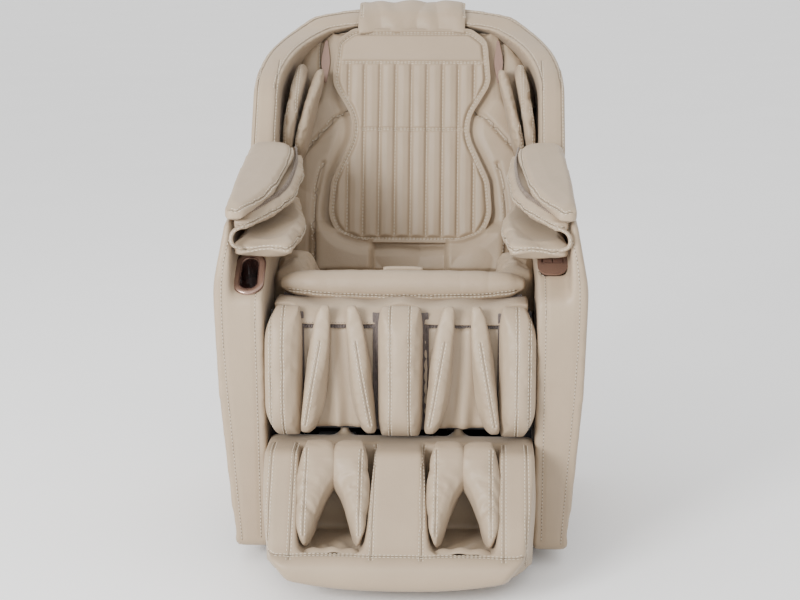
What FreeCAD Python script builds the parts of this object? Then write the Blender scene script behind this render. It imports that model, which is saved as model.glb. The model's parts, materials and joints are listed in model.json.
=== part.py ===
import FreeCAD, Part
import math
import os

# Full-body massage chair. +Z up, the chair faces -Y, the sitter's left is +X.
# The origin is on the floor, under the centre of the whole chair. Millimetres, degrees.

# ---- driving dimensions -------------------------------------------------------------------
GAP = 0.5                    # space between two pieces of one body that lie against each other
RUN = 0.06                   # radial play of a shaft in its bore

PANEL_IN = 280.0             # inner face of an arm
PANEL_OUT = 384.0            # widest point of the side panels
PANEL_FOOT = 352.0           # half-width of the panels at their lower edge
PANEL_BOTTOM = 31.0
PANEL_SPLIT = 346.0          # from here outwards the panel rises to carry the arm cap
PANEL_WALL = 10.0

CAP_FRONT = (-370.0, 754.0)  # Y, Z of the arm cap's front lip
CAP_SLOPE = 0.27
HAND_FRONT_Z = 697.0         # lower hand pad, at the Y of the cap's lip
HAND_SLOPE = 0.12
ARM_REAR = -5.0
RAMP_LOW = (-376.0, 590.0)   # slanted front of the arm, Y and Z of its two ends
RAMP_HIGH = (-262.0, 676.0)

BACK_PIVOT = (190.0, 450.0)  # Y, Z
BACK_LEAN = 17.0
DISC_R = 150.0               # round lower end of the back's side cheeks
HOOD_HALF = 351.0
HOOD_WALL = 57.0
CROWN = 722.0                # height of the hood's crown above the back's pivot
REAR_BULGE = 245.7           # the cover's furthest reach behind the pivot
HOOD_SPLIT = 31.0            # the upholstered hood ends and the moulded rear cover begins
UPHOLSTERY_FRONT = -45.0
UPHOLSTERY_REAR = -28.0
COVER_WALL = 5.0

SEAT_HALF = 270.0
SEAT_FRONT = (-202.0, 592.0)
SEAT_REAR = (112.0, 492.0)
SEAT_BOTTOM = 442.0
ROLL_HALF = 257.0
ROLL_Z = (563.0, 614.0)

LEG_PIVOT = (-290.0, 540.0)
CALF_HALF = 277.0
CALF_TOP = 573.0
CALF_BOTTOM = 292.0
CALF_FRONT = -400.0
CALF_BACK = -322.0
CALF_SIDE = 52.0             # width of a side cushion
DIVIDER_HALF = 30.0
CHANNEL = (36.0, 221.0)      # X of the two walls of a calf channel

FOOT_HALF = 275.0
WELL = (58.0, 207.0)         # X of the two walls of a foot well
WELL_FLOOR = 95.0
WELL_REAR = -372.0
WELL_FRONT = -556.0
SLIDE_X = 120.0
SLIDE_Y = -297.0
SLIDE_R = 9.0

FOOT_PAD_R = 22.0
RAIL = (240.0, 276.0)        # X of the base's side rails
RAIL_Z = (45.0, 85.0)
BASE_HALF_LENGTH = 300.0

AXLE_R = 8.0
PIN_R = 8.0


# ---- drawing helpers ----------------------------------------------------------------------
def vec(x, y, z):
    return FreeCAD.Vector(x, y, z)


def block(x, y, z):
    """A box from three (low, high) pairs."""
    return Part.makeBox(x[1] - x[0], y[1] - y[0], z[1] - z[0], vec(x[0], y[0], z[0]))


def rod_x(x, centre, radius):
    """A cylinder along X from x[0] to x[1] at centre (Y, Z)."""
    return Part.makeCylinder(radius, x[1] - x[0], vec(x[0], centre[0], centre[1]), vec(1, 0, 0))


def rod_z(z, centre, radius):
    """A cylinder along Z from z[0] to z[1] at centre (X, Y)."""
    return Part.makeCylinder(radius, z[1] - z[0], vec(centre[0], centre[1], z[0]), vec(0, 0, 1))


def rod_between(start, end, radius):
    direction = end - start
    return Part.makeCylinder(radius, direction.Length, start, direction)


def rounded_face(corners, place):
    """A face from corners (a, b, fillet radius); place maps (a, b) into space.

    A fillet too large for the sides beside it is made as large as they allow.
    """
    edges = []
    last = None
    first = None
    count = len(corners)
    for index, (a, b, radius) in enumerate(corners):
        corner = FreeCAD.Vector(a, b, 0)
        before = FreeCAD.Vector(*corners[index - 1][:2], 0) - corner
        after = FreeCAD.Vector(*corners[(index + 1) % count][:2], 0) - corner
        half_angle = before.getAngle(after) / 2
        longest_run = 0.49 * min(before.Length, after.Length)
        run = min(radius / math.tan(half_angle), longest_run)
        radius = run * math.tan(half_angle)
        start = corner + before.normalize() * run
        end = corner + after.normalize() * run
        bisector = (before + after).normalize()
        middle = corner + bisector * (radius / math.sin(half_angle) - radius)
        points = [place(p.x, p.y) for p in (start, middle, end)]
        if last is not None and (last - points[0]).Length > 1e-6:
            edges.append(Part.makeLine(last, points[0]))
        if radius > 0:
            edges.append(Part.Arc(*points).toShape())
        last = points[2]
        first = first or points[0]
    if (last - first).Length > 1e-6:
        edges.append(Part.makeLine(last, first))
    return Part.Face(Part.Wire(edges))


def slab_x(corners, x):
    """Outline in Y and Z, extruded along X."""
    face = rounded_face(corners, lambda a, b: vec(x[0], a, b))
    return face.extrude(vec(x[1] - x[0], 0, 0))


def slab_y(corners, y):
    """Outline in X and Z, extruded along Y."""
    face = rounded_face(corners, lambda a, b: vec(a, y[0], b))
    return face.extrude(vec(0, y[1] - y[0], 0))


def slab_z(corners, z):
    """Outline in X and Y, extruded along Z."""
    face = rounded_face(corners, lambda a, b: vec(a, b, z[0]))
    return face.extrude(vec(0, 0, z[1] - z[0]))


def sharp(points):
    return [(a, b, 0.0) for a, b in points]


def fuse(*shapes):
    return shapes[0].multiFuse(list(shapes[1:])).removeSplitter()


def mirrored(shape):
    return shape.mirror(vec(0, 0, 0), vec(1, 0, 0))


def soften(shape, radius):
    return shape.makeFillet(radius, shape.Edges)


def save(node, *shapes):
    shape = shapes[0] if len(shapes) == 1 else Part.makeCompound(list(shapes))
    shape.exportStep("parts/" + node + ".step")


def save_pair(node, left):
    save(node + "_left", left)
    save(node + "_right", mirrored(left))


def lean(shape):
    """Turns a piece drawn upright about the back's pivot into the back's rest position."""
    turned = shape.copy()
    turned.rotate(vec(0, *BACK_PIVOT), vec(1, 0, 0), -BACK_LEAN)
    return turned


def back_slab(corners, x):
    """Outline (rearwards, upwards) from the back's pivot, extruded along X, then leaned."""
    placed = [(BACK_PIVOT[0] + a, BACK_PIVOT[1] + b, r) for a, b, r in corners]
    return lean(slab_x(placed, x))


def back_block(x, depth, height):
    y = (BACK_PIVOT[0] + depth[0], BACK_PIVOT[0] + depth[1])
    z = (BACK_PIVOT[1] + height[0], BACK_PIVOT[1] + height[1])
    return lean(block(x, y, z))


def back_rod(x, depth, height, radius):
    return lean(rod_x(x, (BACK_PIVOT[0] + depth, BACK_PIVOT[1] + height), radius))


# ---- side panels and arms -------------------------------------------------------------------
def cap_z(y, drop=0.0):
    return CAP_FRONT[1] + CAP_SLOPE * (y - CAP_FRONT[0]) - drop


def hand_z(y, drop=0.0):
    return HAND_FRONT_Z + HAND_SLOPE * (y - CAP_FRONT[0]) - drop


PANEL_HEEL = (34.0, 440.0)
HAND_THICK = 30.0


def panel_profile(top_corners):
    """Side outline of a panel (Y, Z): its lower part is the same for both zones."""
    pivot_y, pivot_z = BACK_PIVOT
    recess = DISC_R + 5.0
    corners = [
        (-330.0, PANEL_BOTTOM, 25.0), (-352.0, 300.0, 400.0), (-378.0, 520.0, 300.0),
        *top_corners,
        (PANEL_HEEL[0], PANEL_HEEL[1], 0.0),
        (pivot_y - recess, pivot_z - recess, recess - 2.0),
        (300.0, pivot_z - recess - 4.0, 40.0), (338.0, 180.0, 60.0), (325.0, PANEL_BOTTOM, 30.0),
    ]
    return corners


def panel_zones(inset):
    """The outer rising zone and the lower inner zone, both drawn in by inset."""
    outer_top = [
        (-384.0, 640.0, 60.0), (CAP_FRONT[0] + 8.0, cap_z(CAP_FRONT[0], 12.0), 14.0),
        (ARM_REAR, cap_z(ARM_REAR, 12.0), 4.0),
    ]
    inner_top = [
        (RAMP_LOW[0] - 4.0, RAMP_LOW[1] - 3.0, 22.0), (RAMP_HIGH[0], RAMP_HIGH[1], 20.0),
        (ARM_REAR, hand_z(ARM_REAR, HAND_THICK), 4.0),
    ]
    zones = []
    for top, x in ((outer_top, (PANEL_SPLIT, PANEL_OUT + 6.0)), (inner_top, (PANEL_IN, PANEL_SPLIT))):
        face = rounded_face(panel_profile(top), lambda a, b: vec(x[0], a, b))
        if inset > 0:
            face = face.makeOffset2D(-inset)
        zones.append(face.extrude(vec(x[1] - x[0], 0, 0)))
    return zones


def panel_section(inset):
    """Front outline of a panel (X, Z), extruded over the whole depth."""
    corners = [
        (PANEL_IN, PANEL_BOTTOM - 20.0, 0.0), (PANEL_FOOT - inset, PANEL_BOTTOM - 20.0, 0.0),
        (PANEL_OUT - 5.0 - inset, 380.0, 600.0), (PANEL_OUT - inset, 610.0, 200.0),
        (PANEL_OUT - 31.0 - inset, 775.0, 120.0), (PANEL_OUT - 48.0 - inset, 900.0, 0.0),
        (PANEL_IN, 900.0, 0.0),
    ]
    return slab_y(corners, (-420.0, 380.0))


def panel_body():
    outer = fuse(*panel_zones(0.0)).common(panel_section(0.0))
    cavity_zones = panel_zones(PANEL_WALL)
    cavity_zones[0].translate(vec(PANEL_WALL, 0, 0))
    cavity = cavity_zones[0].fuse(cavity_zones[1]).common(panel_section(PANEL_WALL))
    mouth = cavity_zones[1].copy()
    mouth.translate(vec(-30.0, 0, 0))
    bridge = block((PANEL_SPLIT - 1, PANEL_SPLIT + PANEL_WALL + 1), (-330.0, 20.0), (60.0, 560.0))
    return outer.cut(cavity.fuse(mouth)).cut(bridge)


RAMP_ANGLE = math.degrees(math.atan2(RAMP_HIGH[1] - RAMP_LOW[1], RAMP_HIGH[0] - RAMP_LOW[0]))
RAMP_CENTRE = ((RAMP_LOW[0] + RAMP_HIGH[0]) / 2, (RAMP_LOW[1] + RAMP_HIGH[1]) / 2)
POCKET_X = 313.5
PLATE_X = 312.0


def on_ramp(shape, x, up_slope):
    """Places a piece drawn flat (X across, Y up the slope, Z out) on the arm's slanted front."""
    placed = shape.copy()
    placed.rotate(vec(0, 0, 0), vec(1, 0, 0), RAMP_ANGLE)
    angle = math.radians(RAMP_ANGLE)
    y = RAMP_CENTRE[0] + up_slope * math.cos(angle)
    z = RAMP_CENTRE[1] + up_slope * math.sin(angle)
    placed.translate(vec(x, y, z))
    return placed


POCKET_SIZE = (42.0, 90.0)
POCKET_LIP = 11.5
POCKET_DEPTH = 62.0
POCKET_UP = -6.0
PLATE_SIZE = (62.0, 58.0)
PLATE_UP = 26.0
KEY_SIZE = (19.0, 10.0)
KEY_UP = 8.0


def stadium(width, length, radius, z):
    a, b = width / 2, length / 2
    return slab_z([(-a, -b, radius), (a, -b, radius), (a, b, radius), (-a, b, radius)], z)


def phone_pocket():
    """A deep cup with a raised rim, open at the top."""
    width, length = POCKET_SIZE
    rim = stadium(width + 2 * POCKET_LIP, length + 2 * POCKET_LIP, 30.0, (0.3, 4.0))
    cup = stadium(width, length, width / 2 - 1.0, (-POCKET_DEPTH, 4.0))
    hollow = stadium(width - 5.0, length - 5.0, width / 2 - 4.0, (-POCKET_DEPTH + 2.5, 10.0))
    return rim.fuse(cup).cut(hollow).removeSplitter()


def control_plate():
    """A D-shaped plate with a recess in which two keys travel."""
    width, length = PLATE_SIZE
    a, b = width / 2, length / 2
    outline = [(-a, b, 6.0), (-a, -b, 24.0), (a, -b, 24.0), (a, b, 6.0)]
    plate = slab_z(outline, (0.3, 4.0))
    well = slab_z([(x * 0.84, y * 0.84, r * 0.8) for x, y, r in outline], (-PANEL_WALL, 1.0))
    recess = block((-23.0, 23.0), (KEY_UP - 7.0, KEY_UP + 7.0), (-6.0, 6.0))
    return plate.fuse(well).cut(recess).removeSplitter()


def key(side):
    x = side * (KEY_SIZE[0] / 2 + 1.0)
    half = KEY_SIZE[0] / 2
    return block((x - half, x + half), (KEY_UP - KEY_SIZE[1] / 2, KEY_UP + KEY_SIZE[1] / 2), (-3.5, 4.5))


def pad_between(plan, low, high, y_range):
    """A pad with a plan outline (X, Y) between two heights that change with Y."""
    column = slab_z(plan, (500.0, 1000.0))
    y0, y1 = y_range
    wedge = slab_x(sharp([(y0, low(y0)), (y1, low(y1)), (y1, high(y1)), (y0, high(y0))]), (0.0, 420.0))
    return column.common(wedge)


ARM_SPAN = (-420.0, 40.0)


def arm_cap():
    plan = [
        (243.0, ARM_REAR, 10.0), (241.0, -104.0, 200.0), (262.0, -262.0, 80.0),
        (318.0, CAP_FRONT[0] - 8.0, 26.0), (358.0, CAP_FRONT[0] - 12.0, 26.0), (360.0, -235.0, 300.0),
        (345.0, ARM_REAR, 10.0),
    ]
    return pad_between(plan, lambda y: cap_z(y, 11.0), lambda y: cap_z(y, -18.0), ARM_SPAN)


def arm_airbag():
    plan = [
        (229.0, ARM_REAR, 12.0), (214.0, -100.0, 60.0), (222.0, -212.0, 40.0), (256.0, -285.0, 50.0),
        (312.0, -352.0, 20.0), (PANEL_SPLIT - 3.0, -352.0, 6.0), (PANEL_SPLIT - 3.0, ARM_REAR, 4.0),
    ]
    return pad_between(plan, lambda y: cap_z(y, 36.0), lambda y: cap_z(y, 11.5), ARM_SPAN)


def hand_pad():
    plan = [
        (229.0, -40.0, 16.0), (198.0, -180.0, 60.0), (200.0, -250.0, 30.0), (222.0, -362.0, 22.0),
        (PANEL_SPLIT - 4.0, -362.0, 14.0), (PANEL_SPLIT - 4.0, ARM_REAR, 4.0), (240.0, ARM_REAR, 12.0),
    ]
    return pad_between(plan, lambda y: hand_z(y, HAND_THICK - GAP), lambda y: hand_z(y, -5.0), ARM_SPAN)


def arm_core():
    """The board that closes the panel's hollow on the sitter's side."""
    board = panel_zones(PANEL_WALL + GAP)[1]
    return board.common(block((PANEL_IN, PANEL_IN + 9.0), (-420.0, 400.0), (0.0, 900.0)))


# ---- base -----------------------------------------------------------------------------------
LEG_MOUNT = (-20.0, 150.0)      # where the leg actuator hangs on the base
BACK_MOUNT = (250.0, 112.0)     # where the back actuator hangs on the base
LEG_ACTUATOR_X = -70.0
BACK_ACTUATOR_X = 70.0
WHEEL_CENTRE = (330.0, 34.0)
WHEEL_R = 30.0
LEG_PLATE = (255.0, 267.0)
BACK_PLATE = (262.0, 274.0)


def clevis(x, centre, bottom):
    """Two ears with a pin between them, standing on a foot plate."""
    y, z = centre
    ears = []
    for side in (-1, 1):
        low, high = sorted((x + side * 27.0, x + side * 34.0))
        ears.append(slab_x([(y - 22.0, bottom, 0.0), (y + 22.0, bottom, 0.0), (y + 18.0, z + 18.0, 16.0),
                            (y - 18.0, z + 18.0, 16.0)], (low, high)))
    pin = rod_x((x - 34.0, x + 34.0), centre, PIN_R)
    return ears + [pin]


def base_frame():
    low, high = RAIL_Z
    ends = BASE_HALF_LENGTH
    pieces = []
    for side in (-1, 1):
        inner, outer = sorted((side * RAIL[0], side * RAIL[1]))
        pieces.append(block((inner, outer), (-ends, ends), RAIL_Z))
        pieces.append(block((inner, outer), (-270.0, -234.0), (high, SEAT_BOTTOM - 22.0)))
        pieces.append(block((inner, outer), (-234.0, 60.0), (SEAT_BOTTOM - 46.0, SEAT_BOTTOM - 22.0)))
        pieces.append(block((inner, outer), (24.0, 60.0), (high, SEAT_BOTTOM - 22.0)))
        plate = tuple(sorted((side * LEG_PLATE[0], side * LEG_PLATE[1])))
        y, z = LEG_PIVOT
        front = slab_x([(-234.0, 370.0, 0.0), (-234.0, 440.0, 0.0), (-262.0, 552.0, 14.0),
                        (y - 15.0, z + 16.0, 14.0), (y - 18.0, z - 22.0, 10.0), (-270.0, 380.0, 0.0)], plate)
        pieces.append(front.cut(rod_x((-300.0, 300.0), LEG_PIVOT, PIN_R + RUN)))
        plate = tuple(sorted((side * BACK_PLATE[0], side * BACK_PLATE[1])))
        y, z = BACK_PIVOT
        rear = slab_x([(y - 70.0, low, 0.0), (y - 8.0, low, 0.0), (y + 20.0, z - 20.0, 20.0),
                       (y + 20.0, z + 20.0, 18.0), (y - 22.0, z + 20.0, 20.0)], plate)
        pieces.append(rear.cut(rod_x((-300.0, 300.0), BACK_PIVOT, PIN_R + RUN)))
        ear = slab_x([(ends - 10.0, low, 0.0), (ends - 10.0, high, 0.0), (WHEEL_CENTRE[0] + 12.0, 60.0, 10.0),
                      (WHEEL_CENTRE[0] + 14.0, 20.0, 12.0), (WHEEL_CENTRE[0] - 14.0, 20.0, 12.0)],
                     tuple(sorted((side * 176.0, side * 184.0))))
        pieces.append(ear.cut(rod_x((-300.0, 300.0), WHEEL_CENTRE, AXLE_R + RUN)))
    for y in ((-ends, -ends + 36.0), (ends - 36.0, ends)):
        pieces.append(block((-PANEL_IN + GAP, PANEL_IN - GAP), y, RAIL_Z))
    for centre, x in ((LEG_MOUNT, LEG_ACTUATOR_X), (BACK_MOUNT, BACK_ACTUATOR_X)):
        pieces.append(block((-RAIL[0], RAIL[0]), (centre[0] - 22.0, centre[0] + 22.0), (low, high)))
        pieces.extend(clevis(x, centre, high - 5.0))
    return fuse(*pieces)


def base_tray():
    """A thin plate under the cross members that closes the base from below."""
    return slab_z([(-236.0, -290.0, 20.0), (236.0, -290.0, 20.0), (236.0, 290.0, 20.0),
                   (-236.0, 290.0, 20.0)], (38.0, 44.5))


def levelling_feet():
    feet = []
    for x in (-258.0, 258.0):
        for y in (-278.0, 278.0):
            pad = Part.makeCone(FOOT_PAD_R, FOOT_PAD_R - 5.0, 12.0, vec(x, y, 0))
            feet.append(pad.fuse(rod_z((11.0, RAIL_Z[0]), (x, y), 6.0)).removeSplitter())
    return feet


def transport_wheels():
    axle = rod_x((-226.0, 226.0), WHEEL_CENTRE, AXLE_R)
    wheels = [axle]
    for side in (-1, 1):
        x = tuple(sorted((side * 190.0, side * 220.0)))
        wheel = rod_x(x, WHEEL_CENTRE, WHEEL_R)
        wheels.append(soften(wheel, 5.0))
    return fuse(*wheels)


def control_box():
    case = soften(block((-225.0, -125.0), (60.0, 215.0), (45.0, 125.0)), 5.0)
    lid = block((-220.0, -130.0), (65.0, 210.0), (124.0, 130.0))
    return case.fuse(lid).removeSplitter()


def air_pump():
    motor = Part.makeCylinder(32.0, 120.0, vec(150.0, -230.0, 85.0), vec(0, 1, 0))
    head = soften(block((105.0, 195.0), (-120.0, -50.0), (45.0, 130.0)), 6.0)
    manifold = block((105.0, 195.0), (-250.0, -228.0), (45.0, 120.0))
    return fuse(motor, head, manifold)


SKIRT_Y = BASE_HALF_LENGTH + 4.0
INLET_Z = 120.0


def rear_skirt():
    """Moulded panel that closes the base at the rear, between the side panels."""
    half = PANEL_IN - 1.0
    outline = [(-half, 92.0, 6.0), (half, 92.0, 6.0), (half, 262.0, 10.0), (150.0, 276.0, 200.0),
               (-150.0, 276.0, 200.0), (-half, 262.0, 10.0)]
    panel = slab_y(outline, (SKIRT_Y, SKIRT_Y + 5.0))
    hole = block((-151.0, -89.0), (SKIRT_Y - 5.0, SKIRT_Y + 10.0), (INLET_Z - 18.0, INLET_Z + 18.0))
    return panel.cut(hole)


def power_inlet():
    """Mains inlet with a rocker, let into the rear skirt."""
    rim = block((-156.0, -84.0), (SKIRT_Y + 5.0 + GAP, SKIRT_Y + 8.0), (INLET_Z - 22.0, INLET_Z + 22.0))
    case = block((-150.0, -90.0), (SKIRT_Y - 30.0, SKIRT_Y + 6.0), (INLET_Z - 17.0, INLET_Z + 17.0))
    socket = block((-146.0, -118.0), (SKIRT_Y - 16.0, SKIRT_Y + 20.0), (INLET_Z - 10.0, INLET_Z + 10.0))
    rocker = slab_x([(SKIRT_Y + 4.0, INLET_Z - 9.0, 0.0), (SKIRT_Y + 12.0, INLET_Z - 8.0, 0.0),
                     (SKIRT_Y + 9.0, INLET_Z, 0.0), (SKIRT_Y + 10.0, INLET_Z + 9.0, 0.0),
                     (SKIRT_Y + 4.0, INLET_Z + 9.0, 0.0)], (-112.0, -98.0))
    return rim.fuse(case).cut(socket).fuse(rocker).removeSplitter()


# ---- seat -----------------------------------------------------------------------------------
def seat_frame():
    """Pressed pan with turned-down edges, resting on the base's upper rails."""
    top = SEAT_BOTTOM - GAP
    pan = block((-SEAT_HALF, SEAT_HALF), (-234.0, 96.0), (top - 4.0, top))
    pieces = [pan]
    for side in (-1, 1):
        x = tuple(sorted((side * RAIL[0], side * RAIL[1])))
        pieces.append(block((x[0] + 2.0, x[1] - 2.0), (-230.0, 56.0), (SEAT_BOTTOM - 22.0, top)))
    pieces.append(block((-SEAT_HALF, SEAT_HALF), (92.0, 96.0), (top - 8.0, top)))
    pieces.append(block((-ROLL_HALF + 6.0, ROLL_HALF - 6.0), (-234.0, -230.0), (top - 4.0, ROLL_Z[0] - GAP)))
    notch_x = (LEG_ACTUATOR_X - 34.0, LEG_ACTUATOR_X + 34.0)
    notch = block(notch_x, (-240.0, -212.0), (top - 10.0, top + 24.0))
    lightening = stadium(160.0, 120.0, 30.0, (top - 30.0, top + 5.0))
    lightening.translate(vec(0, -70.0, 0))
    return fuse(*pieces).cut(notch).cut(lightening)


def seat_cushion():
    (y0, z0), (y1, z1) = SEAT_FRONT, SEAT_REAR
    profile = [(y0 - 1.0, SEAT_BOTTOM, 8.0), (y1, SEAT_BOTTOM, 8.0), (y1, z1, 20.0), (y0 - 1.0, z0, 16.0)]
    return slab_x(profile, (-204.0, 204.0))


def seat_roll():
    low, high = ROLL_Z
    profile = [(-258.0, low, 20.0), (-204.0, low, 14.0), (-204.0, high, 24.0), (-258.0, high, 24.0)]
    return slab_x(profile, (-ROLL_HALF, ROLL_HALF))


def hip_pad():
    profile = [(-200.0, SEAT_BOTTOM, 6.0), (140.0, SEAT_BOTTOM, 6.0), (140.0, 560.0, 30.0),
               (-60.0, 640.0, 60.0), (-200.0, 612.0, 24.0)]
    return slab_x(profile, (205.0, SEAT_HALF + 6.0))


# ---- back -----------------------------------------------------------------------------------
TANGENT_FRONT = (-139.2, -55.4)   # where the wings' front edge meets the cheeks' disc
REAR_TANGENT = (148.4, -22.0)


def hood_outline(half, shoulder, corner, top_corner, crown, y_range):
    """Front outline of the hood in X and height above the pivot, extruded rearwards."""
    base = BACK_PIVOT[1]
    right = vec(half, y_range[0], base - 260.0)
    left = vec(-half, y_range[0], base - 260.0)

    def at(x, height):
        return vec(x, y_range[0], base + height)

    edges = [
        Part.makeLine(left, right),
        Part.makeLine(right, at(half, shoulder)),
        Part.Arc(at(half, shoulder), at(*corner), at(*top_corner)).toShape(),
        Part.Arc(at(*top_corner), at(0, crown), at(-top_corner[0], top_corner[1])).toShape(),
        Part.Arc(at(-top_corner[0], top_corner[1]), at(-corner[0], corner[1]), at(-half, shoulder)).toShape(),
        Part.makeLine(at(-half, shoulder), left),
    ]
    return Part.Face(Part.Wire(edges)).extrude(vec(0, y_range[1] - y_range[0], 0))


BACK_DEPTH = (BACK_PIVOT[0] - 320.0, BACK_PIVOT[0] + 260.0)


def outer_outline(y_range=BACK_DEPTH, inset=0.0):
    return hood_outline(HOOD_HALF - inset, 480.0, (312.0 - inset * 0.8, 606.0 - inset * 0.6),
                        (235.0 - inset * 0.5, 688.0 - inset * 0.9), CROWN - inset, y_range)


def inner_outline(y_range=BACK_DEPTH, inset=0.0):
    half = HOOD_HALF - HOOD_WALL
    return hood_outline(half - inset, 470.0, (258.0 - inset * 0.8, 578.0 - inset * 0.6),
                        (190.0 - inset * 0.5, 646.0 - inset * 0.9), CROWN - 50.0 - inset, y_range)


def upright_slab(corners, radius):
    """Side outline (rearwards, upwards) joined to the round lower end about the pivot, full width."""
    x = (-HOOD_HALF - 5.0, HOOD_HALF + 5.0)
    upper = slab_x([(BACK_PIVOT[0] + a, BACK_PIVOT[1] + b, r) for a, b, r in corners], x)
    return upper.fuse(rod_x(x, BACK_PIVOT, radius))


def split_at(shape, depth_range):
    y = (BACK_PIVOT[0] + depth_range[0], BACK_PIVOT[0] + depth_range[1])
    return shape.common(block((-400.0, 400.0), y, (0.0, 1300.0)))


def hood_shell():
    """Padded wings and crown: open to the front, round cheeks about the back's pivot."""
    profile = [
        (-290.0, 324.0, 16.0), (-244.0, 490.0, 160.0), (-160.0, 580.0, 160.0), (-66.0, 650.0, 60.0),
        (-46.0, 686.0, 30.0), (-12.0, CROWN, 40.0), (HOOD_SPLIT + 20.0, CROWN, 0.0),
        (HOOD_SPLIT + 20.0, 0.0, 0.0), (0.0, 0.0, 0.0), (*TANGENT_FRONT, 0.0),
    ]
    side = split_at(upright_slab(profile, DISC_R), (-320.0, HOOD_SPLIT - GAP))
    return lean(side.common(outer_outline()).cut(inner_outline()))


def rear_profile(inset):
    """Rear side outline: crown, round shoulder and straight rear down to the cheeks' disc."""
    return [
        (0.0, CROWN + 1.0 - 1.5 * inset, 0.0), (0.0, 0.0, 0.0),
        (REAR_TANGENT[0] - inset, REAR_TANGENT[1], 0.0),
        (REAR_BULGE - inset, 556.0, 240.0), (REAR_BULGE - 22.0 - inset, 690.0 - inset, 130.0),
        (120.0, CROWN + 3.0 - 1.5 * inset, 200.0),
    ]


def rear_cover():
    """A moulded shell, open to the front, that closes the back over the mechanism."""
    outside = upright_slab(rear_profile(0.0), DISC_R).common(outer_outline())
    inside = upright_slab(rear_profile(COVER_WALL), DISC_R - COVER_WALL)
    shell = outside.cut(inside.common(outer_outline(BACK_DEPTH, COVER_WALL)))
    shell = split_at(shell, (HOOD_SPLIT + GAP, 300.0))
    between_cheeks = block((-PANEL_IN - 9.0, PANEL_IN + 9.0), (BACK_PIVOT[0], BACK_PIVOT[0] + 260.0),
                           (BACK_PIVOT[1] - 260.0, BACK_PIVOT[1] - 30.0))
    shell = shell.cut(between_cheeks)
    for row in range(6):
        vent = stadium(124.0, 9.0, 4.4, (0.0, 200.0))
        vent.rotate(vec(0, 0, 0), vec(1, 0, 0), -90.0)
        vent.translate(vec(0, BACK_PIVOT[0] + 120.0, BACK_PIVOT[1] + 250.0 + row * 22.0))
        shell = shell.cut(vent)
    return lean(shell)


FRAME_X = (196.0, 222.0)
FRAME_DEPTH = (22.0, 62.0)
RAIL_X = (146.0, 176.0)
FRAME_TOP = 612.0
LUG_DEPTH, LUG_DROP = 24.0, -104.0


def back_frame():
    """Two side tubes on the pivots, cross tubes, and the mechanism's two guide channels."""
    pieces = []
    for side in (-1, 1):
        tube = tuple(sorted((side * FRAME_X[0], side * FRAME_X[1])))
        pieces.append(back_block(tube, FRAME_DEPTH, (20.0, FRAME_TOP)))
        knee = [(-20.0, -16.0, 14.0), (20.0, -20.0, 18.0), (FRAME_DEPTH[1], 20.0, 10.0),
                (FRAME_DEPTH[1], 70.0, 0.0), (FRAME_DEPTH[0], 70.0, 0.0), (-20.0, 18.0, 16.0)]
        pieces.append(back_slab(knee, tuple(sorted((side * 205.0, side * 258.0)))))
        pieces.append(back_rod(tuple(sorted((side * 205.0, side * 276.0))), 0.0, 0.0, PIN_R))
        channel = tuple(sorted((side * RAIL_X[0], side * RAIL_X[1])))
        guide = back_block(channel, (26.0, 62.0), (80.0, FRAME_TOP - 20.0))
        groove = back_block(tuple(sorted((side * (RAIL_X[0] - 1.0), side * (RAIL_X[1] - 6.0)))),
                            (34.0, 54.0), (80.0, FRAME_TOP - 20.0))
        pieces.append(guide.cut(groove))
    for height in ((60.0, 90.0), (FRAME_TOP - 26.0, FRAME_TOP)):
        pieces.append(back_block((-FRAME_X[0] - 2.0, FRAME_X[0] + 2.0), FRAME_DEPTH, height))
    lug_x = (BACK_ACTUATOR_X - 5.0, BACK_ACTUATOR_X + 5.0)
    lug = [(LUG_DEPTH - 14.0, LUG_DROP - 14.0, 12.0), (LUG_DEPTH + 14.0, LUG_DROP - 14.0, 12.0),
           (FRAME_DEPTH[1], 62.0, 0.0), (FRAME_DEPTH[0], 62.0, 0.0)]
    pieces.append(back_slab(lug, lug_x))
    pieces.append(back_rod((BACK_ACTUATOR_X - 17.0, BACK_ACTUATOR_X + 17.0), LUG_DEPTH, LUG_DROP, 6.0))
    return fuse(*pieces)


def back_upholstery():
    slab_depth = (BACK_PIVOT[0] + UPHOLSTERY_FRONT, BACK_PIVOT[0] + UPHOLSTERY_REAR)
    slab = inner_outline(slab_depth, 1.0)
    keep = block((-300.0, 300.0), slab_depth, (BACK_PIVOT[1] + 62.0, BACK_PIVOT[1] + 700.0))
    return lean(slab.common(keep))


PAD_DEPTH = (-64.0, UPHOLSTERY_FRONT - GAP)


def back_pad():
    """The removable hourglass pad."""
    low, high = 141.0, 654.0
    outline = [
        (-120.0, low, 40.0), (120.0, low, 40.0), (196.0, 190.0, 60.0), (188.0, 290.0, 60.0),
        (128.0, 420.0, 90.0), (190.0, 520.0, 60.0), (180.0, high - 30.0, 30.0), (140.0, high, 30.0),
        (-140.0, high, 30.0), (-180.0, high - 30.0, 30.0), (-190.0, 520.0, 60.0), (-128.0, 420.0, 90.0),
        (-188.0, 290.0, 60.0), (-196.0, 190.0, 60.0),
    ]
    placed = [(x, BACK_PIVOT[1] + z, r) for x, z, r in outline]
    return lean(slab_y(placed, (BACK_PIVOT[0] + PAD_DEPTH[0], BACK_PIVOT[0] + PAD_DEPTH[1])))


def head_flap():
    """The strap flap that holds the pad, lying over the hood's crown."""
    low, over, under = 655.0, CROWN + 8.0, CROWN + 0.6
    profile = [(-71.0, low, 0.0), (-58.0, 692.0, 24.0), (-20.0, over, 30.0), (24.0, over, 0.0),
               (24.0, under, 0.0), (-14.0, under, 20.0), (-51.0, 689.0, 20.0), (-62.0, low, 0.0)]
    return back_slab(profile, (-130.0, 130.0))


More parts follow.
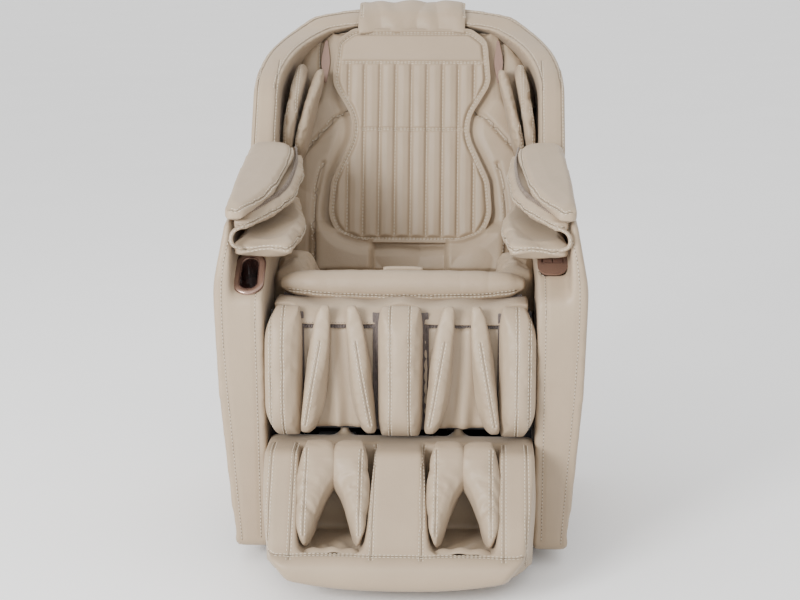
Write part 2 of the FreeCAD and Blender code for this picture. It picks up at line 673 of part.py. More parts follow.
def shoulder_airbag():
    """Two thin leaves beside the shoulder that lean over the sitter, joined along their rear edge."""
    hinge_line = vec(271.0, BACK_PIVOT[0], BACK_PIVOT[1] + 330.0)
    leaves = []
    for x, front, angle in (((274.0, 292.0), -228.0, -8.0), ((250.0, 266.0), -205.0, -12.0)):
        outline = [(front, 342.0, 40.0), (-62.0, 330.0, 30.0), (-62.0, 560.0, 50.0),
                   (front + 96.0, 560.0, 60.0), (front + 20.0, 460.0, 80.0)]
        leaf = slab_x([(BACK_PIVOT[0] + v, BACK_PIVOT[1] + u, radius) for v, u, radius in outline], x)
        leaf.rotate(hinge_line, vec(0, 1, 0), angle)
        leaves.append(lean(leaf))
    spine = [(252.0, 350.0), (288.0, 350.0), (262.0, 530.0), (214.0, 530.0)]
    placed = [(x, BACK_PIVOT[1] + u, 4.0) for x, u in spine]
    leaves.append(lean(slab_y(placed, (BACK_PIVOT[0] - 66.0, BACK_PIVOT[0] - 50.0))))
    return fuse(*leaves).common(lean(inner_outline(BACK_DEPTH, 1.5)))


def head_trim():
    """A leaf-shaped inlay beside the head, on the upholstery's face."""
    leaf = [(205.0, 512.0, 3.0), (217.0, 575.0, 90.0), (203.0, 642.0, 3.0), (194.0, 575.0, 90.0)]
    placed = [(x, BACK_PIVOT[1] + z, r) for x, z, r in leaf]
    front = BACK_PIVOT[0] + UPHOLSTERY_FRONT
    return lean(slab_y(placed, (front - GAP - 4.0, front - GAP)))


# ---- massage mechanism ------------------------------------------------------------------------
CARRIAGE = (170.0, 300.0)
ARM_PIVOT = (34.0, 235.0)
ROLLER_DEPTH = 12.0
ROLLER_REACH = 62.0
ROLLER_R = 26.0
ARM_X = 78.0


def carriage_chassis():
    """Gearbox block with a cross shaft for the two arms and guide pins in the channels."""
    gearbox = back_block((-44.0, 44.0), (20.0, 96.0), (CARRIAGE[0] + 10.0, CARRIAGE[1] - 8.0))
    motor = back_rod((-40.0, 40.0), 116.0, CARRIAGE[0] + 66.0, 28.0)
    plate = back_block((-138.0, 138.0), (56.0, 62.0), CARRIAGE)
    ends = []
    for side in (-1, 1):
        ends.append(back_block(tuple(sorted((side * 132.0, side * 140.0))), (26.0, 62.0), CARRIAGE))
        for height in (CARRIAGE[0] + 20.0, CARRIAGE[1] - 20.0):
            ends.append(back_rod(tuple(sorted((side * 136.0, side * 166.0))), 44.0, height, 9.5))
    shaft = back_rod((-134.0, 134.0), ARM_PIVOT[0], ARM_PIVOT[1], 9.0)
    return fuse(gearbox, motor, plate, shaft, *ends)


def massage_arm(side):
    """A swan arm on the cross shaft, with a stub for a roller at each end."""
    x = side * ARM_X
    web = [(ROLLER_DEPTH - 8.0, ARM_PIVOT[1] - ROLLER_REACH - 12.0, 8.0),
           (ROLLER_DEPTH + 10.0, ARM_PIVOT[1] - ROLLER_REACH - 12.0, 8.0),
           (ARM_PIVOT[0] + 18.0, ARM_PIVOT[1], 20.0),
           (ROLLER_DEPTH + 10.0, ARM_PIVOT[1] + ROLLER_REACH + 12.0, 8.0),
           (ROLLER_DEPTH - 8.0, ARM_PIVOT[1] + ROLLER_REACH + 12.0, 8.0),
           (ARM_PIVOT[0] - 16.0, ARM_PIVOT[1], 14.0)]
    pieces = [back_slab(web, (x - 6.0, x + 6.0))]
    for end in (-1, 1):
        outer = x + side * 44.0
        height = ARM_PIVOT[1] + end * ROLLER_REACH
        pieces.append(back_rod(tuple(sorted((x, outer))), ROLLER_DEPTH, height, 5.0))
    bore = back_rod((x - 10.0, x + 10.0), ARM_PIVOT[0], ARM_PIVOT[1], 9.0 + RUN)
    return fuse(*pieces).cut(bore)


def massage_roller(side, end):
    x = sorted((side * (ARM_X + 9.0), side * (ARM_X + 41.0)))
    height = ARM_PIVOT[1] + end * ROLLER_REACH
    wheel = rod_x(x, (BACK_PIVOT[0] + ROLLER_DEPTH, BACK_PIVOT[1] + height), ROLLER_R)
    wheel = lean(soften(wheel, 9.0))
    return wheel.cut(back_rod((x[0] - 1.0, x[1] + 1.0), ROLLER_DEPTH, height, 5.0 + RUN))


# ---- leg rest ---------------------------------------------------------------------------------
LEG_LUG = (-264.0, 416.0)


def legrest_frame():
    """Hinge lugs and pins, the back board of the calf unit and the foot rest's two sleeves."""
    board = block((-270.0, 270.0), (-320.0, -314.0), (CALF_BOTTOM + 8.0, CALF_TOP - 20.0))
    pieces = [board]
    y, z = LEG_PIVOT
    for side in (-1, 1):
        lug = slab_x([(y - 26.0, z - 60.0, 0.0), (y + 14.0, z - 40.0, 10.0), (y + 15.0, z + 15.0, 14.0),
                      (y - 26.0, z + 12.0, 6.0)], tuple(sorted((side * 236.0, side * 252.0))))
        pieces.append(lug)
        pieces.append(rod_x(tuple(sorted((side * 236.0, side * 270.0))), LEG_PIVOT, PIN_R))
        sleeve = rod_z((CALF_BOTTOM + 10.0, 510.0), (side * SLIDE_X, SLIDE_Y), SLIDE_R + 5.0)
        saddle = block(tuple(sorted((side * (SLIDE_X - 14.0), side * (SLIDE_X + 14.0)))), (-316.0, -300.0),
                       (CALF_BOTTOM + 10.0, 510.0))
        pieces.append(sleeve.fuse(saddle))
    for height in (CALF_BOTTOM + 20.0, 470.0):
        pieces.append(block((-250.0, 250.0), (-316.0, -300.0), (height, height + 24.0)))
    lug_x = (LEG_ACTUATOR_X - 5.0, LEG_ACTUATOR_X + 5.0)
    lug = slab_x([(-316.0, 470.0, 0.0), (-316.0, 380.0, 0.0), (LEG_LUG[0] + 12.0, LEG_LUG[1] - 13.0, 12.0),
                  (LEG_LUG[0] + 12.0, LEG_LUG[1] + 13.0, 12.0)], lug_x)
    pieces.append(lug)
    pieces.append(rod_x((LEG_ACTUATOR_X - 17.0, LEG_ACTUATOR_X + 17.0), LEG_LUG, 6.0))
    frame = fuse(*pieces)
    for side in (-1, 1):
        frame = frame.cut(rod_z((CALF_BOTTOM, 530.0), (side * SLIDE_X, SLIDE_Y), SLIDE_R + RUN))
    return frame


def calf_profile():
    return [(CALF_BACK, CALF_BOTTOM, 10.0), (CALF_BACK, CALF_TOP - 6.0, 14.0),
            (CALF_FRONT + 16.0, CALF_TOP, 40.0), (CALF_FRONT, 460.0, 200.0), (CALF_FRONT, CALF_BOTTOM, 34.0)]


def calf_side():
    return slab_x(calf_profile(), (CALF_HALF - CALF_SIDE, CALF_HALF))


def calf_divider():
    return slab_x(calf_profile(), (-DIVIDER_HALF, DIVIDER_HALF))


def calf_lining():
    """Padded backs of the two channels."""
    pads = []
    for side in (-1, 1):
        x = tuple(sorted((side * CHANNEL[0], side * CHANNEL[1])))
        pads.append(block(x, (CALF_BACK - 14.0, CALF_BACK), (CALF_BOTTOM + 10.0, CALF_TOP - 14.0)))
    return pads


FLAP_THICK = 13.0
FLAP_REAR = CALF_BACK - 16.0
CALF_FLAP_TILT = 10.0
HEM_R = 7.0                     # round hem along a flap's rear edge, which it hinges on


def calf_flap(side, outer):
    """A leaf that stands in the channel and leans away from the leg at the bottom."""
    y = (CALF_FRONT + 6.0, FLAP_REAR)
    z = (CALF_BOTTOM + 8.0, CALF_TOP - 12.0)
    leaf = slab_x([(y[1], z[0], 8.0), (y[0], z[0], 40.0), (y[0] - 4.0, 420.0, 160.0),
                   (y[0] + 26.0, z[1], 26.0), (y[1], z[1], 20.0)], (-FLAP_THICK / 2, FLAP_THICK / 2))
    leaf = leaf.fuse(rod_z((z[0] + 10.0, z[1] - 10.0), (0.0, FLAP_REAR - HEM_R), HEM_R)).removeSplitter()
    middle = vec(0, 0, (z[0] + z[1]) / 2)
    x = 176.0 if outer else 80.0
    lean_angle = CALF_FLAP_TILT * (-1 if outer else 1) * side
    leaf.rotate(middle, vec(0, 1, 0), lean_angle)
    leaf.translate(vec(side * x, 0, 0))
    return leaf


# ---- foot rest --------------------------------------------------------------------------------
ROLLER_AXIS = (-455.0, 72.0)


def foot_box():
    """Padded box with two wells, a channel for the sole rollers and two slide rods."""
    profile = [
        (-300.0, 60.0, 10.0), (-330.0, 40.0, 20.0), (-560.0, 35.0, 30.0), (-600.0, 52.0, 26.0),
        (-598.0, 100.0, 26.0), (-560.0, 112.0, 20.0), (-428.0, 284.0, 30.0), (-300.0, 286.0, 12.0),
    ]
    body = slab_x(profile, (-FOOT_HALF, FOOT_HALF))
    taper = 26.0
    plan = [(-FOOT_HALF, -290.0, 6.0), (FOOT_HALF, -290.0, 6.0), (FOOT_HALF, -430.0, 120.0),
            (FOOT_HALF - taper, -602.0, 40.0), (-FOOT_HALF + taper, -602.0, 40.0),
            (-FOOT_HALF, -430.0, 120.0)]
    body = body.common(slab_z(plan, (0.0, 320.0)))
    for side in (-1, 1):
        x = sorted((side * WELL[0], side * WELL[1]))
        outline = [(x[0] + 8.0, WELL_FLOOR, 34.0), (x[1] - 8.0, WELL_FLOOR, 34.0), (x[1], 330.0, 0.0),
                   (x[0], 330.0, 0.0)]
        body = body.cut(slab_y(outline, (WELL_FRONT, WELL_REAR)))
        slot_x = (side * 132.5 - 46.0, side * 132.5 + 46.0)
        slot_y = (ROLLER_AXIS[0] - 21.0, ROLLER_AXIS[0] + 21.0)
        body = body.cut(block(slot_x, slot_y, (50.0, WELL_FLOOR + 5.0)))
        rod = rod_z((240.0, 488.0), (side * SLIDE_X, SLIDE_Y), SLIDE_R)
        holder = block((side * SLIDE_X - 22.0, side * SLIDE_X + 22.0), (-302.0, -284.0), (200.0, 284.0))
        body = body.fuse(holder).fuse(rod)
    return body.cut(rod_x((-200.0, 200.0), ROLLER_AXIS, 6.0 + RUN)).removeSplitter()


def foot_roller_shaft():
    shaft = rod_x((-196.0, 196.0), ROLLER_AXIS, 6.0)
    rollers = [shaft]
    for side in (-1, 1):
        for offset in (-28.0, 0.0, 28.0):
            x = side * 132.5 + offset
            rollers.append(soften(rod_x((x - 9.0, x + 9.0), ROLLER_AXIS, 18.0), 4.0))
    return fuse(*rollers)


def foot_flap(side, outer):
    """A lobed leaf that lines one wall of a foot well: a tip at its foot, broad and full at its top."""
    wall = side if outer else -side
    low, high = WELL_FLOOR + 14.0, 296.0
    rear = WELL_REAR - 8.0
    plan = [(17.0, -549.0, 5.0), (4.0, -549.0, 5.0), (-10.0, -500.0, 30.0), (-26.0, -440.0, 30.0),
            (-20.0, -400.0, 20.0), (-7.0, rear, 6.0), (7.0, rear, 6.0), (17.0, -460.0, 40.0)]
    front = [(-6.0, low, 4.0), (3.0, low, 4.0), (17.0, 150.0, 14.0), (17.0, high, 16.0),
             (-20.0, high, 20.0), (-28.0, 240.0, 16.0), (-14.0, 150.0, 20.0)]
    profile = [(rear, low, 20.0), (-548.0, low, 22.0), (-526.0, 175.0, 40.0), (-425.0, high, 44.0),
               (rear, high - 6.0, 18.0)]
    leaf = slab_z([(wall * x, y, radius) for x, y, radius in plan], (low, high))
    leaf = leaf.common(slab_y([(wall * x, z, radius) for x, z, radius in front], (-560.0, rear)))
    leaf = leaf.common(slab_x(profile, (-40.0, 40.0)))
    hem = rod_z((low + 10.0, high - 16.0), (0.0, rear - HEM_R), HEM_R)
    leaf = leaf.fuse(hem).removeSplitter()
    x = WELL[1] - 24.0 if outer else WELL[0] + 24.0
    leaf.translate(vec(side * x, 0, 0))
    return leaf


# ---- actuators --------------------------------------------------------------------------------
TUBE_R = 20.0
ACTUATOR_ROD_R = 9.0


def actuator(x, mount, target):
    """Tube with its eye on the mount, and rod with a window round the far pin."""
    start = vec(x, *mount)
    end = vec(x, *target)
    along = (end - start).normalize()
    length = (end - start).Length
    tube = rod_between(start + along * 26.0, start + along * (length - 66.0), TUBE_R)
    eye = rod_x((x - 20.0, x + 20.0), mount, 17.0)
    neck = rod_between(start + along * 8.0, start + along * 30.0, 14.0)
    motor = rod_between(start + along * 34.0, start + along * 110.0, 24.0)
    motor.translate(along.cross(vec(1, 0, 0)) * 34.0)
    tube = fuse(tube, eye, neck, motor)
    tube = tube.cut(rod_x((x - 30.0, x + 30.0), mount, PIN_R + RUN))
    tube = tube.cut(rod_between(start + along * 40.0, end, ACTUATOR_ROD_R + 0.3))

    rod = rod_between(start + along * 46.0, start + along * (length - 42.0), ACTUATOR_ROD_R)
    fork = []
    for side in (-1, 1):
        cheek_x = sorted((x + side * 9.0, x + side * 15.0))
        cheek = block(cheek_x, (-38.0, 38.0), (-38.0, 26.0))
        window = block((cheek_x[0] - 1, cheek_x[1] + 1), (-32.0, 32.0), (-20.0, 20.0))
        fork.append(cheek.cut(window))
    bridge = block((x - 15.0, x + 15.0), (-38.0, 38.0), (-44.0, -38.0))
    head = fuse(*fork, bridge)
    tilt = math.degrees(math.atan2(-along.y, along.z))
    head.rotate(vec(x, 0, 0), vec(1, 0, 0), tilt)
    head.translate(vec(0, *target))
    return tube, rod.fuse(head).removeSplitter()


def back_lug_point():
    angle = math.radians(BACK_LEAN)
    y = BACK_PIVOT[0] + LUG_DEPTH * math.cos(angle) + LUG_DROP * math.sin(angle)
    z = BACK_PIVOT[1] - LUG_DEPTH * math.sin(angle) + LUG_DROP * math.cos(angle)
    return (y, z)


# ---- the whole chair ----------------------------------------------------------------------------
def main():
    os.makedirs("parts", exist_ok=True)

    panel = panel_body()
    plate_hole = block((-27.0, 27.0), (-25.5, 25.5), (-PANEL_WALL - 8.0, 12.0))
    pocket_hole = stadium(POCKET_SIZE[0] + 0.6, POCKET_SIZE[1] + 0.6, POCKET_SIZE[0] / 2 - 1.0, (-80.0, 12.0))
    pocket_hole = on_ramp(pocket_hole, -POCKET_X, POCKET_UP)
    save("side_panel_left", panel.cut(on_ramp(plate_hole, PLATE_X, PLATE_UP)))
    save("side_panel_right", mirrored(panel).cut(pocket_hole))
    core = arm_core()
    save("arm_core_left", core)
    save("arm_core_right", mirrored(core).cut(pocket_hole))
    save_pair("arm_cap", arm_cap())
    save_pair("arm_airbag", arm_airbag())
    save_pair("hand_pad", hand_pad())
    save("phone_pocket", on_ramp(phone_pocket(), -POCKET_X, POCKET_UP))
    save("control_plate", on_ramp(control_plate(), PLATE_X, PLATE_UP))
    save("recline_key", on_ramp(key(-1), PLATE_X, PLATE_UP))
    save("legrest_key", on_ramp(key(1), PLATE_X, PLATE_UP))

    save("base_frame", base_frame())
    save("base_tray", base_tray())
    save("levelling_feet", *levelling_feet())
    save("transport_wheels", transport_wheels())
    save("control_box", control_box())
    save("air_pump", air_pump())
    save("power_inlet", power_inlet())
    save("rear_skirt", rear_skirt())

    save("seat_frame", seat_frame())
    save("seat_cushion", seat_cushion())
    save("seat_roll", seat_roll())
    side_pad = hip_pad()
    save("hip_pads", side_pad, mirrored(side_pad))

    save("hood_shell", hood_shell())
    save("rear_cover", rear_cover())
    save("back_frame", back_frame())
    save("back_upholstery", back_upholstery())
    save("back_pad", back_pad())
    save("head_flap", head_flap())
    save_pair("shoulder_airbag", shoulder_airbag())
    trim = head_trim()
    save("head_trims", trim, mirrored(trim))

    save("carriage_chassis", carriage_chassis())
    for name, side in (("left", 1), ("right", -1)):
        save("massage_arm_" + name, massage_arm(side))
        for place, end in (("upper", 1), ("lower", -1)):
            save("roller_" + place + "_" + name, massage_roller(side, end))

    save("legrest_frame", legrest_frame())
    side_cushion = calf_side()
    save("calf_sides", side_cushion, mirrored(side_cushion))
    save("calf_divider", calf_divider())
    save("calf_lining", *calf_lining())
    save("foot_box", foot_box())
    save("foot_roller_shaft", foot_roller_shaft())
    for name, side in (("left", 1), ("right", -1)):
        for place, outer in (("outer", True), ("inner", False)):
            save("calf_flap_" + place + "_" + name, calf_flap(side, outer))
            save("foot_flap_" + place + "_" + name, foot_flap(side, outer))

    tube, rod = actuator(BACK_ACTUATOR_X, BACK_MOUNT, back_lug_point())
    save("back_actuator_tube", tube)
    save("back_actuator_rod", rod)
    tube, rod = actuator(LEG_ACTUATOR_X, LEG_MOUNT, LEG_LUG)
    save("leg_actuator_tube", tube)
    save("leg_actuator_rod", rod)


main()
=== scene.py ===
import json
import math

import bmesh
import bpy
import numpy as np
from mathutils import Matrix, Vector, noise
from mathutils.bvhtree import BVHTree
from mathutils.kdtree import KDTree


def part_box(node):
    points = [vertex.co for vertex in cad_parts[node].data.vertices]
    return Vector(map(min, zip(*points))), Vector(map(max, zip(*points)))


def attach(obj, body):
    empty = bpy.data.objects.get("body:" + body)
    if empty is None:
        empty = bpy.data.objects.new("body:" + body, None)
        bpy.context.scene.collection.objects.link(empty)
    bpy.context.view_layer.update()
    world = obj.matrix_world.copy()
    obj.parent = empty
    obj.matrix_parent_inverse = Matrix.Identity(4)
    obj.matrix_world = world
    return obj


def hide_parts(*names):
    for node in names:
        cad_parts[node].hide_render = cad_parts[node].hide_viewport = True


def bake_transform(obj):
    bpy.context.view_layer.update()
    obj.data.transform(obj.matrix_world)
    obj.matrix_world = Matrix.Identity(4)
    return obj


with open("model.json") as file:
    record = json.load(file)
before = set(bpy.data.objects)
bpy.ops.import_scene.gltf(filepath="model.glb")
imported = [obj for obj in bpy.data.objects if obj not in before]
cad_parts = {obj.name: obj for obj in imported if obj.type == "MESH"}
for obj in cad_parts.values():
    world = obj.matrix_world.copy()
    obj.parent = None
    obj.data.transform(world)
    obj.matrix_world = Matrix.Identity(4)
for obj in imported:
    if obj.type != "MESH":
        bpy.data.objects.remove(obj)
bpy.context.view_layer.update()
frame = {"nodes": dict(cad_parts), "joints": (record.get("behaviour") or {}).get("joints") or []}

SCENE = bpy.context.scene
MM = 0.001
SIDES = (("left", 1), ("right", -1))

# The back is drawn about its pivot: "depth" points rearwards and "height" up along the lean.
RECLINE = next(j for j in frame["joints"] if j["name"] == "back_recline")
BACK_PIVOT = Vector(RECLINE["pos_m"])
BACK_LEAN = math.radians(17.0)
REARWARDS = Vector((0, math.cos(BACK_LEAN), -math.sin(BACK_LEAN)))
UP_BACK = Vector((0, math.sin(BACK_LEAN), math.cos(BACK_LEAN)))
RIGHT = Vector((1, 0, 0))
REAR_AXIS, UP_AXIS, RIGHT_AXIS = (np.array(v) for v in (REARWARDS, UP_BACK, RIGHT))


def at(x, y, z):
    """A point from millimetres."""
    return Vector((x, y, z)) * MM


def unit(values):
    """Values held between nothing and one."""
    return np.clip(values, 0, 1)


def on_back(x, depth, height):
    """A point from millimetres across, behind and above the back's pivot."""
    return BACK_PIVOT + (RIGHT * x + REARWARDS * depth + UP_BACK * height) * MM


# ---- materials
class Surface:
    """A new material, drawn in its object's own texture space."""

    def __init__(self, name, scale=(1, 1, 1)):
        self.material = bpy.data.materials.new(name)
        self.material.use_nodes = True
        self.nodes = self.material.node_tree.nodes
        self.links = self.material.node_tree.links
        self.shader = self.nodes["Principled BSDF"]
        mapping = self.nodes.new("ShaderNodeMapping")
        mapping.inputs["Scale"].default_value = scale
        self.links.new(self.nodes.new("ShaderNodeTexCoord").outputs["Object"], mapping.inputs["Vector"])
        self.space = mapping.outputs["Vector"]

    def texture(self, kind, output, **values):
        node = self.nodes.new(kind)
        for socket, value in values.items():
            node.inputs[socket].default_value = value
        self.links.new(self.space, node.inputs["Vector"])
        return node.outputs[output]

    def noise(self, scale, detail=3.0, roughness=0.5):
        return self.texture("ShaderNodeTexNoise", "Fac", Scale=scale, Detail=detail, Roughness=roughness)

    def cells(self, scale, randomness=1.0):
        return self.texture("ShaderNodeTexVoronoi", "Distance", Scale=scale, Randomness=randomness)

    def colour(self, factor, low, high, dark, light):
        """Base colour that runs from dark to light while factor runs from low to high."""
        ramp = self.nodes.new("ShaderNodeValToRGB")
        for element, position, tone in zip(ramp.color_ramp.elements, (low, high), (dark, light)):
            element.position = position
            element.color = (*tone, 1)
        self.links.new(factor, ramp.inputs["Fac"])
        self.links.new(ramp.outputs["Color"], self.shader.inputs["Base Color"])

    def roughness(self, factor, low, high):
        between = self.nodes.new("ShaderNodeMapRange")
        between.inputs["To Min"].default_value = low
        between.inputs["To Max"].default_value = high
        self.links.new(factor, between.inputs["Value"])
        self.links.new(between.outputs["Result"], self.shader.inputs["Roughness"])

    def bumps(self, *layers):
        """Stacks bump layers (height output, strength, distance in metres) on the shader's normal."""
        previous = None
        for height, strength, distance in layers:
            bump = self.nodes.new("ShaderNodeBump")
            bump.inputs["Strength"].default_value = strength
            bump.inputs["Distance"].default_value = distance
            self.links.new(height, bump.inputs["Height"])
            if previous:
                self.links.new(previous, bump.inputs["Normal"])
            previous = bump.outputs["Normal"]
        self.links.new(previous, self.shader.inputs["Normal"])

    def done(self, values):
        """Sets the shader's even values and returns the material."""
        for socket, value in values.items():
            self.shader.inputs[socket].default_value = value
        return self.material


def shaded(colour, factor):
    return tuple(c * factor for c in colour)


def leather(name, colour, creases):
    """Synthetic leather: pebble grain, soft creases, and a slightly uneven tone and gloss."""
    skin = Surface(name)
    skin.colour(skin.noise(7.0, 4.0, 0.6), 0.3, 0.7, shaded(colour, 0.94), shaded(colour, 1.04))
    skin.roughness(skin.noise(60.0), 0.42, 0.56)
    skin.bumps((skin.noise(28.0, 6.0, 0.62), creases * 0.35, 0.004), (skin.cells(620.0), 0.28, 0.0006))
    return skin.done({"Specular IOR Level": 0.42, "Sheen Weight": 0.06, "Sheen Roughness": 0.5})


def mesh_fabric(name, colour):
    """Knitted spacer mesh: a close grid of small holes, painted darker inside them as painted shade."""
    knit = Surface(name)
    holes_and_hole_shade = knit.cells(420.0, 0.25)
    # The holes are real; their darker centres are painted shade inside the holes.
    knit.colour(holes_and_hole_shade, 0.15, 0.55, shaded(colour, 0.35), colour)
    knit.bumps((holes_and_hole_shade, 0.6, 0.001))
    return knit.done({"Roughness": 1.0, "Sheen Weight": 0.25})


def lacquer(name, colour, roughness, metallic):
    """Metallic lacquer with a clear coat and the faint waviness of a moulding."""
    paint = Surface(name)
    paint.colour(paint.noise(900.0, 2.0), 0.35, 0.65, shaded(colour, 0.88), shaded(colour, 1.1))
    paint.bumps((paint.noise(30.0, 2.0), 0.05, 0.002))
    return paint.done({"Metallic": metallic, "Roughness": roughness, "Coat Weight": 0.6, "Coat Roughness": 0.08})


def moulded(name, colour, roughness=(0.45, 0.6), grain=900.0):
    """Spark-textured moulded plastic or powder coat."""
    plastic = Surface(name)
    plastic.colour(plastic.noise(12.0), 0.3, 0.7, shaded(colour, 0.92), shaded(colour, 1.06))
    spark = plastic.noise(grain, 2.0)
    plastic.roughness(spark, *roughness)
    plastic.bumps((spark, 0.25, 0.0004))
    return plastic.material


def plated(name, colour):
    """Zinc-plated steel with fine drawn lines."""
    steel = Surface(name, (1, 1, 12))
    lines = steel.noise(180.0, 4.0)
    steel.colour(lines, 0.3, 0.7, shaded(colour, 0.85), colour)
    steel.roughness(lines, 0.25, 0.45)
    steel.bumps((lines, 0.08, 0.0003))
    return steel.done({"Metallic": 1.0})


LEATHER_TONE = (0.335, 0.254, 0.172)
LEATHER = leather("leather_smooth", LEATHER_TONE, creases=0.15)
LEATHER_SOFT = leather("leather_soft", shaded(LEATHER_TONE, 0.98), creases=0.9)
LEATHER_PUFFED = leather("leather_puffed", shaded(LEATHER_TONE, 0.97), creases=0.5)
PIPING = leather("leather_piping", shaded(LEATHER_TONE, 0.9), creases=0.1)
# Leather darkened to 0.42 for the thin tube in each plain seam's crease: painted seam shadow.
SEAM_SHADE = leather("seam_painted_shade", shaded(LEATHER_TONE, 0.42), creases=0.1)
THREAD = moulded("thread", (0.52, 0.45, 0.35), (0.6, 0.8), 2500.0)
MESH = mesh_fabric("spacer_mesh", (0.10, 0.078, 0.07))
PLEATS = mesh_fabric("pleated_mesh", (0.19, 0.143, 0.108))
ROSE = lacquer("rose_gold", (0.27, 0.165, 0.125), 0.26, 0.6)
KEY_ROSE = lacquer("rose_gold_keys", (0.24, 0.14, 0.11), 0.25, 0.5)
CUP = lacquer("cup_brown", (0.05, 0.022, 0.018), 0.16, 0.0)
COVER = moulded("cover_moulding", (0.29, 0.235, 0.175))
BLACK = moulded("black_moulding", (0.018, 0.018, 0.02))
POWDER = moulded("black_powder_coat", (0.022, 0.022, 0.025), (0.35, 0.5), 1400.0)
RUBBER = moulded("soft_rubber", (0.03, 0.028, 0.028), (0.7, 0.85), 500.0)
STEEL = plated("zinc_steel", (0.62, 0.62, 0.60))


# ---- mesh helpers
def smooth_shaded(mesh):
    for polygon in mesh.polygons:
        polygon.use_smooth = True


def add_object(name, mesh, material):
    obj = bpy.data.objects.new(name, mesh)
    SCENE.collection.objects.link(obj)
    mesh.materials.clear()
    mesh.materials.append(material)
    smooth_shaded(mesh)
    return obj


def mesh_object(name, vertices, faces, material):
    mesh = bpy.data.meshes.new(name)
    mesh.from_pydata([tuple(v) for v in vertices], [], faces)
    mesh.update()
    return add_object(name, mesh, material)


def coords(obj):
    flat = np.zeros(len(obj.data.vertices) * 3)
    obj.data.vertices.foreach_get("co", flat)
    return flat.reshape(-1, 3)


def set_coords(obj, points):
    obj.data.vertices.foreach_set("co", np.asarray(points, float).ravel())
    obj.data.update()


def normals(obj):
    flat = np.zeros(len(obj.data.vertices) * 3, np.float32)
    obj.data.vertices.foreach_get("normal", flat)
    return flat.reshape(-1, 3)


def grid_faces(rows, columns):
    """Faces of a sheet whose points are listed row by row, one more than its faces each way."""
    width = columns + 1
    corners = (row * width + column for row in range(rows) for column in range(columns))
    return [(a, a + 1, a + 1 + width, a + width) for a in corners]


def thickened(obj, thickness, offset=-1.0):
    """Gives a sheet its thickness; offset says to which side, as the modifier's does."""
    thick = obj.modifiers.new("thick", "SOLIDIFY")
    thick.thickness = thickness
    thick.offset = offset
    bake(obj)
    return obj


def bake(obj):
    """Applies obj's modifiers to its mesh."""
    graph = bpy.context.evaluated_depsgraph_get()
    mesh = bpy.data.meshes.new_from_object(obj.evaluated_get(graph))
    obj.modifiers.clear()
    obj.data = mesh
    smooth_shaded(mesh)


def keep_largest_shell(obj):
    """Drops the closed inner surfaces that a remesh leaves inside a hollow shell."""
    work = bmesh.new()
    work.from_mesh(obj.data)
    unseen = set(work.verts)
    shells = []
    while unseen:
        seed = unseen.pop()
        shell = [seed]
        stack = [seed]
        while stack:
            for edge in stack.pop().link_edges:
                for vertex in edge.verts:
                    if vertex in unseen:
                        unseen.discard(vertex)
                        shell.append(vertex)
                        stack.append(vertex)
        shells.append(shell)
    shells.sort(key=len, reverse=True)
    for shell in shells[1:]:
        bmesh.ops.delete(work, geom=shell, context="VERTS")
    work.to_mesh(obj.data)
    work.free()


WELD = 0.0002


def remeshed(name, nodes, material, voxel, smooth):
    """A new mesh of even quads over some CAD nodes, with its edges rounded by smoothing."""
    work = bmesh.new()
    for node in nodes:
        work.from_mesh(frame["nodes"][node].data)
    bmesh.ops.remove_doubles(work, verts=work.verts, dist=WELD)
    mesh = bpy.data.meshes.new(name)
    work.to_mesh(mesh)
    work.free()
    obj = add_object(name, mesh, material)
    remesh = obj.modifiers.new("even", "REMESH")
    remesh.mode = "VOXEL"
    remesh.voxel_size = voxel
    rounding = obj.modifiers.new("round", "SMOOTH")
    rounding.factor = 0.5
    rounding.iterations = smooth
    bake(obj)
    return obj


PUFF_FRAMES = 14
CLOTH = {"quality": 4, "mass": 0.25, "use_pressure": True, "tension_stiffness": 12.0,
         "compression_stiffness": 12.0, "shear_stiffness": 6.0, "bending_stiffness": 0.4}


def inflate(obj, pressure, cap):
    """Swells obj as a closed cloth bag; no point moves further than cap."""
    before = coords(obj)
    cloth = obj.modifiers.new("puff", "CLOTH")
    settings = cloth.settings
    for setting, value in CLOTH.items():
        setattr(settings, setting, value)
    settings.uniform_pressure_force = pressure
    settings.effector_weights.gravity = 0.0
    cloth.point_cache.frame_start = 1
    cloth.point_cache.frame_end = PUFF_FRAMES
    for number in range(1, PUFF_FRAMES + 1):
        SCENE.frame_set(number)
    bake(obj)
    SCENE.frame_set(1)
    move = coords(obj) - before
    length = np.linalg.norm(move, axis=1, keepdims=True)
    set_coords(obj, before + move * np.minimum(1.0, cap / np.maximum(length, 1e-9)))
    relax(obj, 2)


def relax(obj, iterations, factor=0.5):
    rounding = obj.modifiers.new("relax", "SMOOTH")
    rounding.factor = factor
    rounding.iterations = iterations
    bake(obj)


def subdivided(obj):
    finer = obj.modifiers.new("finer", "SUBSURF")
    finer.levels = 1
    finer.render_levels = 1
    bake(obj)


def reshaped(obj, points):
    set_coords(obj, points)
    subdivided(obj)


def swell(obj, distance):
    """Moves the surface out (or in, if negative) along its normals."""
    set_coords(obj, coords(obj) + normals(obj) * distance)


def tree_of(obj):
    obj.data.calc_loop_triangles()
    points = [v.co.copy() for v in obj.data.vertices]
    return BVHTree.FromPolygons(points, [tuple(p.vertices) for p in obj.data.polygons])


def wrinkle(obj, depth, scale, seed, stretch=(1, 1, 1), weight=None):
    """Ridged folds: sharp valleys between rounded swells, like loose leather."""
    points = coords(obj)
    out = normals(obj)
    amounts = np.zeros(len(points))
    for index, point in enumerate(points):
        share = 1.0 if weight is None else weight(point)
        if share <= 0.0:
            continue
        probe = Vector((point[0] * stretch[0], point[1] * stretch[1], point[2] * stretch[2])) * scale
        value = noise.noise(probe + Vector((seed * 7.3, seed * 3.1, seed * 5.7)))
        fine = noise.noise(probe * 2.3 + Vector((seed, 0, 0)))
        amounts[index] = share * (abs(value) ** 0.7 - 0.45 + 0.25 * fine)
    set_coords(obj, points + out * (amounts * depth)[:, None])


